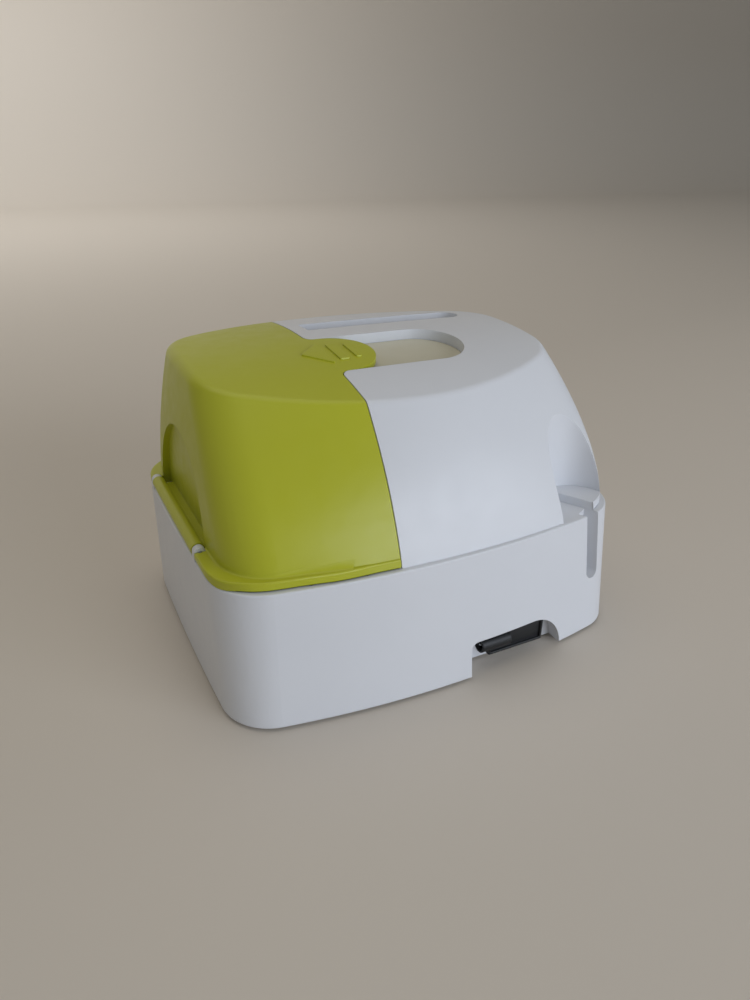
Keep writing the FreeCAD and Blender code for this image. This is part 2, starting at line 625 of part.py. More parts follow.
# ---- dosing unit -------------------------------------------------------------------------
def powder_hopper():
    """Powder tub that hangs on the deck, with a funnel down to the metering pot."""
    def body(inset, top):
        half = (HOPPER_HALF[0] - inset, HOPPER_HALF[1] - inset)
        corner = HOPPER_CORNER - inset
        tub = rect_prism(half, corner, AXIS_X, HOPPER_Y, RIM_Z - DECK, top)
        rect = round_rect(half, corner, AXIS_X, HOPPER_Y, RIM_Z - DECK)
        funnel = Part.makeLoft([ring_wire(THROAT_RADIUS - inset, AXIS_X, 0, FUNNEL_FOOT_Z, 0.5), rect], True, True)
        throat = disc(AXIS_X, 0, THROAT_RADIUS - inset, SCRAPER_Z + SCRAPER_THICK, FUNNEL_FOOT_Z)
        return tub.multiFuse([funnel, throat])
    half = (HOPPER_HALF[0] + HOPPER_LIP[0], HOPPER_HALF[1] + HOPPER_LIP[0])
    lip = rect_prism(half, HOPPER_CORNER + HOPPER_LIP[0], AXIS_X, HOPPER_Y, RIM_Z, RIM_Z + HOPPER_LIP[1])
    return body(0, HOPPER_TOP).fuse(lip).cut(body(HOPPER_WALL, HOPPER_TOP + 1))


def metering_pot():
    """Round pot that holds the metering wheel, with the outlet in its floor."""
    outer = disc(AXIS_X, 0, WHEEL_RADIUS + FIT_GAP + POT_WALL, POT_Z, POT_Z + POT_HEIGHT)
    cuts = [disc(AXIS_X, 0, WHEEL_RADIUS + FIT_GAP, POT_Z + POT_WALL, POT_Z + POT_HEIGHT + 1)]
    cuts.append(disc(AXIS_X, -POCKET_PITCH, POCKET_RADIUS, POT_Z - 1, POT_Z + POT_HEIGHT))
    cuts.append(disc(AXIS_X, 0, SHAFT_RADIUS + FIT_GAP, POT_Z - 1, POT_Z + POT_HEIGHT))
    return outer.cut(cuts[0].multiFuse(cuts[1:]))


def metering_wheel():
    """Rotor whose pockets each carry one measure of powder round to the outlet."""
    wheel = disc(AXIS_X, 0, WHEEL_RADIUS, WHEEL_Z, WHEEL_Z + WHEEL_HEIGHT)
    holes = [disc(AXIS_X, 0, SHAFT_RADIUS, WHEEL_Z - 1, WHEEL_Z + WHEEL_HEIGHT + 1)]
    for k in range(POCKET_COUNT):
        turn = math.radians(-90 + 360 * k / POCKET_COUNT)
        x, y = AXIS_X + POCKET_PITCH * math.cos(turn), POCKET_PITCH * math.sin(turn)
        holes.append(disc(x, y, POCKET_RADIUS, WHEEL_Z - 1, WHEEL_Z + WHEEL_HEIGHT + 1))
    return wheel.cut(holes[0].multiFuse(holes[1:]))


def scraper_plate():
    """Sector plate over the outlet that levels each pocket and keeps powder off it."""
    plate = disc(AXIS_X, 0, THROAT_RADIUS, SCRAPER_Z, SCRAPER_Z + SCRAPER_THICK)
    plate = plate.cut(disc(AXIS_X, 0, SHAFT_RADIUS + 5, SCRAPER_Z - 1, SCRAPER_Z + 3))
    for side in (-1, 1):
        normal = -90 + side * (90 - SCRAPER_ANGLE / 2)
        plate = plate.common(half_space(AXIS_X, 0, normal))
    return plate


def agitator():
    """Hub with staggered arms that keeps the powder loose over the wheel."""
    hub = disc(AXIS_X, 0, SHAFT_RADIUS + 2, AGITATOR_LEVELS[0] - 4, SHAFT_TOP_Z)
    arms = []
    for k, z in enumerate(AGITATOR_LEVELS):
        turn = math.radians(90 + 120 * k)
        arms.append(cylinder(1.6, AGITATOR_REACH, AXIS_X, 0, z, Vector(math.cos(turn), math.sin(turn), 0)))
    bore = disc(AXIS_X, 0, SHAFT_RADIUS, AGITATOR_LEVELS[0] - 5, SHAFT_TOP_Z - 2)
    return hub.multiFuse(arms).cut(bore)


def drive_shaft():
    """Upright shaft from the floor bush to the agitator."""
    return disc(AXIS_X, 0, SHAFT_RADIUS, PLATE_TOP + 0.5, SHAFT_TOP_Z - 2)


def bush(low, high, flange_z):
    """Flanged plain bearing of the drive shaft."""
    inner = SHAFT_RADIUS + SHAFT_GAP
    outer = SHAFT_RADIUS + BUSH_WALL
    sleeve = ring(AXIS_X, 0, outer, inner, low, high)
    return sleeve if flange_z is None else sleeve.fuse(ring(AXIS_X, 0, outer + 1.5, inner, flange_z, flange_z + 1.0))


def spur_gear(teeth, x, bore, turn):
    """Spur gear with straight-flanked teeth, one of them pointing along +X after turn degrees."""
    pitch = GEAR_MODULE * teeth / 2
    root, tip = pitch - 1.2 * GEAR_MODULE, pitch + GEAR_MODULE
    quarter = 360.0 / teeth / 4
    slack = math.degrees(GEAR_BACKLASH / 2 / pitch)
    points = []
    for k in range(teeth):
        middle = 4 * k * quarter + turn
        for radius, half in ((root, 1.55), (pitch, 1.0), (tip, 0.5)):
            points.append((radius, middle - half * quarter + slack))
        for radius, half in ((tip, 0.5), (pitch, 1.0), (root, 1.55)):
            points.append((radius, middle + half * quarter - slack))
    corners = []
    for radius, angle in points:
        rad = math.radians(angle)
        corners.append(Vector(x + radius * math.cos(rad), radius * math.sin(rad), GEAR_Z))
    outline = Part.makePolygon(corners + corners[:1])
    gear = Part.Face(outline).extrude(Vector(0, 0, GEAR_WIDTH))
    return gear.cut(disc(x, 0, bore, GEAR_Z - 1, GEAR_Z + GEAR_WIDTH + 1))


def chute_radius():
    """Outer radius of the outlet chute."""
    return POCKET_RADIUS + CHUTE_WALL


def outlet_chute():
    """Tube from the pot's outlet down through the bottom plate."""
    return ring(AXIS_X, -POCKET_PITCH, chute_radius(), POCKET_RADIUS, PLATE_Z, POT_Z)


def sub_plate():
    """Mechanism plate that carries the pot, the idler pin and the motor."""
    half = ((SUB_PLATE_X[1] - SUB_PLATE_X[0]) / 2, SUB_PLATE_HALF_Y)
    middle = (SUB_PLATE_X[1] + SUB_PLATE_X[0]) / 2
    plate = rect_prism(half, 8.0, middle, 0, SUB_PLATE_Z, POT_Z)
    cuts = [
        disc(AXIS_X, 0, SHAFT_RADIUS + BUSH_WALL + SHAFT_GAP, SUB_PLATE_Z - 1, POT_Z + 1),
        disc(AXIS_X, -POCKET_PITCH, chute_radius() + FIT_GAP, SUB_PLATE_Z - 1, POT_Z + 1),
        disc(IDLER_X, 0, IDLER_PIN_RADIUS + SHAFT_GAP, SUB_PLATE_Z - 1, POT_Z + 1),
        disc(MOTOR_X, 0, MOTOR_SHAFT_RADIUS + 3 + FIT_GAP, SUB_PLATE_Z - 1, POT_Z + 1),
    ]
    places = SUB_POSTS + motor_screw_places()
    cuts += [disc(x, y, SCREW_RADIUS + SHAFT_GAP, SUB_PLATE_Z - 1, POT_Z + 1) for x, y in places]
    return plate.cut(cuts[0].multiFuse(cuts[1:]))


def sub_plate_screws():
    """Screws driven down through the mechanism plate into its posts."""
    made = []
    for x, y in SUB_POSTS:
        head = disc(x, y, SCREW_HEAD[0], POT_Z, POT_Z + SCREW_HEAD[1])
        recess = disc(x, y, 1.0, POT_Z + SCREW_HEAD[1] / 2, POT_Z + SCREW_HEAD[1])
        made.append(head.cut(recess).fuse(disc(x, y, SCREW_RADIUS, SUB_PLATE_Z - 8, POT_Z + 0.1)))
    return Part.makeCompound(made)


def motor_screw_places():
    """Where the motor is screwed to the mechanism plate."""
    return [(MOTOR_X, -MOTOR_SCREW_PITCH), (MOTOR_X, MOTOR_SCREW_PITCH)]


def gear_motor():
    """Upright geared motor with a pilot boss and its terminal cap."""
    can = disc(MOTOR_X, 0, MOTOR_RADIUS, POT_Z, POT_Z + MOTOR_HEIGHT)
    pilot = disc(MOTOR_X, 0, MOTOR_SHAFT_RADIUS + 3, SUB_PLATE_Z, POT_Z)
    cap = disc(MOTOR_X, 0, MOTOR_RADIUS * 0.55, POT_Z + MOTOR_HEIGHT, POT_Z + MOTOR_HEIGHT + 2)
    cuts = [disc(MOTOR_X, 0, MOTOR_SHAFT_RADIUS + SHAFT_GAP, SUB_PLATE_Z - 1, POT_Z + 4)]
    cuts += [disc(x, y, SCREW_RADIUS + SHAFT_GAP, POT_Z - 1, POT_Z + 5) for x, y in motor_screw_places()]
    return can.multiFuse([pilot, cap]).cut(cuts[0].multiFuse(cuts[1:]))


def motor_shaft():
    """The motor's output shaft."""
    return disc(MOTOR_X, 0, MOTOR_SHAFT_RADIUS, GEAR_Z - 1, POT_Z + 4 - FIT_GAP)


def idler_pin():
    """Fixed pin of the idler gear, held at the floor and in the mechanism plate."""
    return disc(IDLER_X, 0, IDLER_PIN_RADIUS, PLATE_TOP, POT_Z)


# ---- electrical parts --------------------------------------------------------------------
def board_posts():
    """Where the control board stands on the bottom plate."""
    return [(x, y) for x in (BOARD_X[0] + 4, BOARD_X[1] - 4) for y in (BOARD_Y[0] + 4, BOARD_Y[1] - 4)]


def control_board():
    """Circuit board on its posts."""
    board = box(BOARD_X, BOARD_Y, (BOARD_Z, BOARD_Z + BOARD_THICK))
    holes = [disc(x, y, 1.2, BOARD_Z - 1, BOARD_Z + 3) for x, y in board_posts()]
    return board.cut(holes[0].multiFuse(holes[1:]))


def board_parts():
    """The taller parts on the board: two capacitors, a processor and two wire headers."""
    top = BOARD_Z + BOARD_THICK
    x, y = BOARD_X[0], BOARD_Y[0]
    made = [disc(x + 12, y + 20, 4.0, top, top + 10), disc(x + 12, y + 32, 4.0, top, top + 10)]
    made.append(box((x + 22, x + 34), (y + 34, y + 46), (top, top + 1.6)))
    made.append(box((x + 14, x + 34), (y + 4, y + 10), (top, top + 7)))
    made.append(box((x + 14, x + 28), (y + 66, y + 72), (top, top + 7)))
    return Part.makeCompound(made)


def dc_jack():
    """Round power inlet that faces forward in the bay."""
    body = cylinder(JACK_RADIUS, JACK_Y[1] - JACK_Y[0], JACK_X, JACK_Y[0], JACK_Z, REAR)
    hole = cylinder(JACK_RADIUS - 1.3, 8, JACK_X, JACK_Y[0] - 1, JACK_Z, REAR)
    pin = cylinder(0.8, 8, JACK_X, JACK_Y[0] + 0.5, JACK_Z, REAR)
    return body.cut(hole).fuse(pin)


def connector_form(grow):
    """The connector block's outline: a bar with its lower left edge cut off."""
    x, z = (BLOCK_X[0] - grow, BLOCK_X[1] + grow), (BLOCK_Z[0] - grow, BLOCK_Z[1] + grow)
    y = BLOCK_Y[0]
    points = [(x[0] + BLOCK_CHAMFER, z[0]), (x[1], z[0]), (x[1], z[1]), (x[0], z[1]), (x[0], z[0] + BLOCK_CHAMFER)]
    corners = [Vector(px, y, pz) for px, pz in points]
    return Part.Face(Part.makePolygon(corners + corners[:1])).extrude(Vector(0, BLOCK_Y[1] - y, 0))


def connector_block():
    """Black connector block at the back of the bay, with a long shallow socket."""
    socket = box((BLOCK_X[0] + 7, BLOCK_X[1] - 4), (BLOCK_Y[0] - 1, BLOCK_Y[0] + 3), (BLOCK_Z[0] + 3, BLOCK_Z[1] - 2.5))
    return connector_form(0).cut(socket)


# ---- all nodes ---------------------------------------------------------------------------
def main():
    os.makedirs("parts", exist_ok=True)
    half_tooth = 180.0 / IDLER_TEETH
    nodes = {
        "base_housing": base_housing(),
        "bottom_plate": bottom_plate(),
        "bottom_screws": screws(BOSS_PLACES, PLATE_Z, PLATE_TOP + 12),
        "cover_screws": screws(COVER_BOSSES, RIM_Z - DECK - SCREW_HEAD[1], RIM_Z + 8),
        "rubber_feet": rubber_feet(),
        "hinge_pin": hinge_pin(),
        "lid_shell": lid_shell(),
        "lid_liner": lid_liner(),
        "lid_seal": lid_seal(),
        "top_cover": top_cover(),
        "pill_insert": pill_insert(),
        "powder_hopper": powder_hopper(),
        "metering_pot": metering_pot(),
        "metering_wheel": metering_wheel(),
        "scraper_plate": scraper_plate(),
        "agitator": agitator(),
        "drive_shaft": drive_shaft(),
        "floor_bush": bush(PLATE_TOP, GEAR_Z - 1.5, None),
        "plate_bush": bush(SUB_PLATE_Z - 0.5, POT_Z, None),
        "drive_gear": spur_gear(DRIVE_TEETH, AXIS_X, SHAFT_RADIUS, 0),
        "idler_gear": spur_gear(IDLER_TEETH, IDLER_X, IDLER_PIN_RADIUS + SHAFT_GAP, half_tooth),
        "motor_pinion": spur_gear(PINION_TEETH, MOTOR_X, MOTOR_SHAFT_RADIUS, 0),
        "idler_pin": idler_pin(),
        "outlet_chute": outlet_chute(),
        "sub_plate": sub_plate(),
        "sub_plate_screws": sub_plate_screws(),
        "motor_screws": screws(motor_screw_places(), SUB_PLATE_Z - SCREW_HEAD[1], POT_Z + 4),
        "gear_motor": gear_motor(),
        "motor_shaft": motor_shaft(),
        "control_board": control_board(),
        "board_parts": board_parts(),
        "dc_jack": dc_jack(),
        "connector_block": connector_block(),
    }
    for name, shape in nodes.items():
        save(name, shape)
        print(name, len(shape.Solids), round(shape.Volume), shape.isValid())


if __name__ == "__main__":
    main()
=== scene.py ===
"""Looks of the formula dispenser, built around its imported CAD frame.

The CAD nodes give the true shapes of the housing, the lid, the cover and the mechanism. This
script gives each of them the finish of the real material, and adds or replaces the pieces whose
fine form the CAD leaves out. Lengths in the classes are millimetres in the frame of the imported
model, and a mesh gets them in metres.
"""

import logging
import math
from collections.abc import Sequence
from dataclasses import dataclass
from enum import Enum

import bmesh
import bpy
import numpy as np
from mathutils import Matrix, Vector


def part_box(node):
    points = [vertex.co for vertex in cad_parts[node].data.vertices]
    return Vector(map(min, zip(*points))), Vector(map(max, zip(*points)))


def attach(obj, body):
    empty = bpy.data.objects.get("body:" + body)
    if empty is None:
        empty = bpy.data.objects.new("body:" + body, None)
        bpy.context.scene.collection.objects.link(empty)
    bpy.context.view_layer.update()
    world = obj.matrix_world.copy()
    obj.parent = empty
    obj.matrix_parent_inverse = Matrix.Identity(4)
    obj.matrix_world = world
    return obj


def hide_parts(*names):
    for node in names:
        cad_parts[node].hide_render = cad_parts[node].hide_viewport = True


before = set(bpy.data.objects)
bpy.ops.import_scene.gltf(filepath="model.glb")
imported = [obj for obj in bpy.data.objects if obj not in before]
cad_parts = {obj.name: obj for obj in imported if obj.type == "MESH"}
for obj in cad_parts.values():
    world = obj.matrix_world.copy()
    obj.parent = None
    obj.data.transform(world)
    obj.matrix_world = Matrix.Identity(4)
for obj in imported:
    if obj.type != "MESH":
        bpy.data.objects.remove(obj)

LOG = logging.getLogger("formula_dispenser")
MM = 0.001
Pair = tuple[float, float]
Triple = tuple[float, float, float]
Quad = tuple[float, float, float, float]
MERGE = 1e-6


class Body(Enum):
    """The bodies that the pieces made here ride on."""

    HOUSING = "housing"
    LID = "lid"


class Axis(Enum):
    """Which way a turned shape's axis runs, as the order in which its coordinates are laid."""

    UP = (0, 1, 2)
    REAR = (2, 0, 1)


# --------------------------------------------------------------------------------------------
# Colours and nodes
# --------------------------------------------------------------------------------------------
def linear(code: str, alpha: float = 1.0) -> Quad:
    """Turns an sRGB hex colour into linear light.

    Each channel c in 0..1 is c / 12.92 up to 0.04045, and ((c + 0.055) / 1.055) ** 2.4 above it.

    Args:
        code: Six hex digits, with or without a leading '#'.
        alpha: The fourth value.

    Returns:
        Linear red, green, blue and alpha.
    """
    code = code.lstrip("#")
    srgb = np.array([int(code[i : i + 2], 16) for i in (0, 2, 4)]) / 255.0
    low, high = srgb / 12.92, ((srgb + 0.055) / 1.055) ** 2.4
    red, green, blue = np.where(srgb <= 0.04045, low, high)
    return float(red), float(green), float(blue), alpha


def put(
    tree: bpy.types.NodeTree,
    kind: str,
    settings: dict[str, object] | None = None,
    inputs: dict[str | int, object] | None = None,
) -> bpy.types.Node:
    """Adds one node, with its settings, its input values and the links that feed it.

    Args:
        tree: The material's or the world's tree.
        kind: The node's type, such as ShaderNodeTexNoise.
        settings: Attributes of the node itself.
        inputs: Values by socket name or number; a value that is a socket is linked.

    Returns:
        The new node.
    """
    node = tree.nodes.new(kind)
    for name, value in (settings or {}).items():
        setattr(node, name, value)
    for name, value in (inputs or {}).items():
        if isinstance(value, bpy.types.NodeSocket):
            tree.links.new(value, node.inputs[name])
        else:
            node.inputs[name].default_value = value
    return node


class Grain(Enum):
    """How a surface was made, which sets the pattern of its finest relief."""

    SPARKED = "spark-eroded mould, a fine even pebble"
    POLISHED = "polished mould, nearly no relief"
    TURNED = "turned on a lathe, fine rings"
    ROLLED = "rolled sheet, long streaks"


@dataclass(frozen=True)
class Finish:
    """A real material and how its surface was made.

    The colour drifts a little from place to place, the roughness varies as a handled surface
    does, and the grain is a bump of a real size. Edges are eased by a small radius, as a mould
    or a tumbler leaves them.
    """

    name: str
    colour: str
    shade: str
    roughness: float
    grain: Grain = Grain.SPARKED
    grain_mm: float = 0.45
    relief_mm: float = 0.012
    metallic: float = 0.0
    ior: float = 1.46
    subsurface: float = 0.0
    scatter_mm: float = 1.0
    coat: float = 0.0
    transmission: float = 0.0
    edge_mm: float = 0.35
    drift_mm: float = 60.0
    rough_drift: float = 0.06

    def material(self) -> bpy.types.Material:
        """Builds the node material, once.

        Returns:
            The material of this finish.
        """
        found = bpy.data.materials.get(self.name)
        if found is not None:
            return found
        made = bpy.data.materials.new(self.name)
        made.use_nodes = True
        tree = made.node_tree
        tree.nodes.clear()
        place = put(tree, "ShaderNodeTexCoord").outputs["Object"]
        cloud = put(
            tree,
            "ShaderNodeTexNoise",
            inputs={"Vector": place, "Scale": 1.0 / (self.drift_mm * MM), "Detail": 4.0},
        )
        colour = put(
            tree,
            "ShaderNodeMix",
            {"data_type": "RGBA"},
            {0: cloud.outputs[0], 6: linear(self.colour), 7: linear(self.shade)},
        )
        smudge = put(
            tree,
            "ShaderNodeTexNoise",
            inputs={"Vector": place, "Scale": 1.0 / (9.0 * MM), "Detail": 6.0, "Roughness": 0.6},
        )
        rough = put(
            tree,
            "ShaderNodeMapRange",
            inputs={
                "Value": smudge.outputs[0],
                1: 0.3,
                2: 0.7,
                3: self.roughness - self.rough_drift,
                4: self.roughness + self.rough_drift,
            },
        )
        eased = put(
            tree, "ShaderNodeBevel", {"samples": 6}, {"Radius": self.edge_mm * MM}
        ).outputs[0]
        bump = put(
            tree,
            "ShaderNodeBump",
            inputs={
                "Strength": 0.5,
                "Distance": self.relief_mm * MM,
                "Height": self._relief(tree, place),
                "Normal": eased,
            },
        )
        shader = put(
            tree,
            "ShaderNodeBsdfPrincipled",
            inputs={
                "Base Color": colour.outputs[2],
                "Roughness": rough.outputs[0],
                "Metallic": self.metallic,
                "Normal": bump.outputs[0],
                "Coat Weight": self.coat,
                "Transmission Weight": self.transmission,
                "Subsurface Weight": self.subsurface,
                "Subsurface Scale": self.scatter_mm * MM,
            },
        )
        if not self.metallic:
            shader.inputs["IOR"].default_value = self.ior
        put(tree, "ShaderNodeOutputMaterial", inputs={"Surface": shader.outputs[0]})
        return made

    def _relief(
        self, tree: bpy.types.NodeTree, place: bpy.types.NodeSocket
    ) -> bpy.types.NodeSocket:
        """Adds the height pattern of the grain.

        Args:
            tree: The material's tree.
            place: Object coordinates.

        Returns:
            The socket that carries the height.
        """
        scale = 1.0 / (self.grain_mm * MM)
        if self.grain is Grain.TURNED:
            return put(
                tree,
                "ShaderNodeTexWave",
                {"wave_type": "RINGS", "rings_direction": "Z"},
                {"Vector": place, "Scale": scale, "Distortion": 0.5},
            ).outputs["Fac"]
        if self.grain is Grain.ROLLED:
            streak = put(
                tree, "ShaderNodeMapping", inputs={"Vector": place, "Scale": (0.05, 1.0, 1.0)}
            )
            place = streak.outputs[0]
        return put(
            tree, "ShaderNodeTexNoise", inputs={"Vector": place, "Scale": scale, "Detail": 2.0}
        ).outputs[0]


# ABS is a hard plastic with a satin skin from a spark-eroded mould: soft broad highlights.
WHITE_ABS = Finish("moulded_white_abs", "#E2E4E8", "#DBDDE2", 0.36)
# The same plastic, coloured through in lime; its tone drifts a little from place to place.
LIME_ABS = Finish("moulded_lime_abs", "#BDC031", "#B5B829", 0.34)
# Cream ABS pressed in as an insert, smoother than the housing.
CREAM_ABS = Finish("moulded_cream_abs", "#D3CEB9", "#CBC6B0", 0.42)
# Polypropylene of the underside plate: waxy and a little duller.
GREY_PP = Finish("moulded_grey_polypropylene", "#8E9196", "#85888D", 0.5, ior=1.49)
# PBT of the connector shells: near black, fine matt grain.
BLACK_PBT = Finish("moulded_black_pbt", "#1B1D20", "#15171A", 0.48)
# Natural acetal of gears and wheel: milky, slippery, with light carried a little way in.
ACETAL = Finish("machined_acetal", "#E9E8E0", "#E1E0D6", 0.4, subsurface=0.15, scatter_mm=1.5)
# SAN copolymer of the powder tub: clear with a smoky tint, glossy from a polished mould.
CLEAR_TUB = Finish(
    "smoky_clear_san", "#D3DADD", "#CBD3D7", 0.12, Grain.POLISHED, 2.0, 0.004,
    ior=1.57, transmission=0.85,
)
# Silicone gasket: soft, translucent, matt.
SILICONE = Finish("pressed_silicone", "#C9CDCB", "#BFC4C2", 0.55, subsurface=0.2, scatter_mm=2.0)
# Rubber feet: dark, matt.
RUBBER = Finish("pressed_rubber", "#2B2C2E", "#232426", 0.72)
# Bright zinc-plated steel.
STEEL = Finish(
    "plated_steel", "#C9CBCE", "#BFC1C5", 0.28, Grain.ROLLED, 0.12, 0.004, metallic=1.0
)
# Sintered bronze bushes.
BRONZE = Finish(
    "sintered_bronze", "#B08A57", "#A67F4D", 0.42, Grain.SPARKED, 0.25, 0.01, metallic=1.0
)
# Glass-fibre board under green solder resist.
BOARD = Finish("fr4_board", "#1F5B3C", "#1A5135", 0.35, Grain.ROLLED, 0.5, 0.006, coat=0.4)

SLOT_FINISH = {
    "white_housing": WHITE_ABS,
    "lime_lid": LIME_ABS,
    "cream_plate": CREAM_ABS,
    "clear_tub": CLEAR_TUB,
    "grey_plate": GREY_PP,
    "black_plastic": BLACK_PBT,
    "acetal": ACETAL,
    "silicone": SILICONE,
    "rubber": RUBBER,
    "steel": STEEL,
    "bronze": BRONZE,
    "board": BOARD,
}


def dress(obj: bpy.types.Object, finish: Finish) -> None:
    """Gives every material slot of an object one finish."""
    made = finish.material()
    if not obj.material_slots:
        obj.data.materials.append(made)
    for slot in obj.material_slots:
        slot.link = "OBJECT"
        slot.material = made


# --------------------------------------------------------------------------------------------
# Surfaces
# --------------------------------------------------------------------------------------------
@dataclass(frozen=True)
class Shell:
    """One closed surface: points in millimetres, and faces as lists of point numbers."""

    points: np.ndarray
    faces: list[list[int]]


def grid(points: np.ndarray, wrap_rows: bool = False, wrap_columns: bool = True) -> Shell:
    """Joins a two-parameter grid of points with four-sided faces.

    Point (i, j) is joined to (i + 1, j) and (i, j + 1), with the last column going back to the
    first. Where the rows don't go round, one flat face closes each end.

    Args:
        points: An array of rows, columns and three coordinates.
        wrap_rows: Whether the last row is joined to the first.
        wrap_columns: Whether the last column is joined to the first.

    Returns:
        The closed surface.
    """
    rows, columns = points.shape[:2]
    i = np.arange(rows if wrap_rows else rows - 1)[:, None]
    j = np.arange(columns if wrap_columns else columns - 1)[None, :]
    after_i, after_j = (i + 1) % rows, (j + 1) % columns
    corners = (
        i * columns + j,
        i * columns + after_j,
        after_i * columns + after_j,
        after_i * columns + j,
    )
    faces = np.stack(np.broadcast_arrays(*corners), axis=-1).reshape(-1, 4).tolist()
    if not wrap_rows:
        first = np.arange(columns)
        faces += [first[::-1].tolist(), (first + (rows - 1) * columns).tolist()]
    return Shell(points.reshape(-1, 3), faces)


def eased(
    corners: Sequence[Pair], radius: float, steps: int = 5, closed: bool = False
) -> np.ndarray:
    """Rounds the corners of a profile.

    Each corner P is replaced by the curve (1-t)^2 A + 2t(1-t) P + t^2 B, where A and B lie on the
    two sides at the radius from P, or at half a side where that is nearer.

    Args:
        corners: The profile's corner points.
        radius: How far from a corner the curve starts.
        steps: Points on each curve.
        closed: Whether the last corner is joined to the first.

    Returns:
        The rounded profile as an array of points.
    """
    p = np.array(corners, dtype=float)
    before, after = np.roll(p, 1, axis=0) - p, np.roll(p, -1, axis=0) - p

    def reach(side: np.ndarray) -> np.ndarray:
        """The point on a side where the curve starts, as a step from the corner."""
        length = np.linalg.norm(side, axis=1, keepdims=True)
        return side / np.maximum(length, 1e-9) * np.minimum(radius, length / 2)

    t = np.linspace(0.0, 1.0, steps)[None, :, None]
    start, stop = p + reach(before), p + reach(after)
    curve = (1 - t) ** 2 * start[:, None] + 2 * t * (1 - t) * p[:, None] + t**2 * stop[:, None]
    if closed:
        return curve.reshape(-1, 2)
    return np.concatenate([p[:1], curve[1:-1].reshape(-1, 2), p[-1:]])


def turned(
    profile: np.ndarray | Sequence[Pair],
    centre: Triple,
    axis: Axis = Axis.UP,
    steps: int = 48,
    hollow: bool = False,
) -> Shell:
    """Turns a profile of radius r and height h about an axis: r cos a, r sin a, h.

    Args:
        profile: Points of radius and height.
        centre: Where the axis passes and the height is nought.
        axis: Which way the axis runs.
        steps: Points round the axis.
        hollow: Whether the profile goes round back to its start, as a ring's does.

    Returns:
        The turned surface.
    """
    p = np.asarray(profile, dtype=float)
    angle = np.linspace(0.0, 2 * math.pi, steps, endpoint=False)
    r, h = np.maximum(p[:, :1], 0.02), np.repeat(p[:, 1:], steps, axis=1)
    rings = np.stack([r * np.cos(angle), r * np.sin(angle), h], axis=-1)
    return grid(rings[..., list(axis.value)] + np.array(centre), wrap_rows=hollow)


def carried(
    path: np.ndarray, section: np.ndarray, closed: bool = False, up: Triple = (0, 0, 1)
) -> Shell:
    """Carries a section along a path: path + u * side + v * up, side being tangent x up.

    Args:
        path: Points of the path.
        section: Points of the section, (u, v), once round.
        closed: Whether the path goes round.
        up: The direction of v.

    Returns:
        The closed surface.
    """
    if closed:
        tangent = np.roll(path, -1, axis=0) - np.roll(path, 1, axis=0)
    else:
        tangent = np.gradient(path, axis=0)
    side = np.cross(tangent, np.array(up, dtype=float))
    side /= np.linalg.norm(side, axis=1, keepdims=True)
    rise = np.array(up, dtype=float)
    u, v = section[None, :, :1], section[None, :, 1:]
    return grid(path[:, None] + u * side[:, None] + v * rise, wrap_rows=closed)


def block(x: Pair, y: Pair, z: Pair, ease: float = 0.3) -> Shell:
    """A moulded block: a rounded outline carried up, drawn in by the ease at both ends.

    Args:
        x: Its limits along X.
        y: Its limits along Y.
        z: Its limits in height.
        ease: The radius of its edges.

    Returns:
        The closed surface.
    """
    outline = eased([(x[0], y[0]), (x[1], y[0]), (x[1], y[1]), (x[0], y[1])], ease * 1.6, 4, True)
    middle = np.array([(x[0] + x[1]) / 2, (y[0] + y[1]) / 2])
    half = np.array([(x[1] - x[0]) / 2, (y[1] - y[0]) / 2])
    turn = np.linspace(0.0, math.pi / 2, 4)
    inset = np.concatenate([ease * (1 - np.sin(turn)), ease * (1 - np.cos(turn))])
    height = np.concatenate([z[0] + ease * (1 - np.cos(turn)), z[1] - ease * (1 - np.sin(turn))])
    flat = middle + (outline - middle)[None] * (1 - inset[:, None] / half)[:, None]
    level = np.broadcast_to(height[:, None, None], flat.shape[:2] + (1,))
    return grid(np.concatenate([flat, level], axis=2))


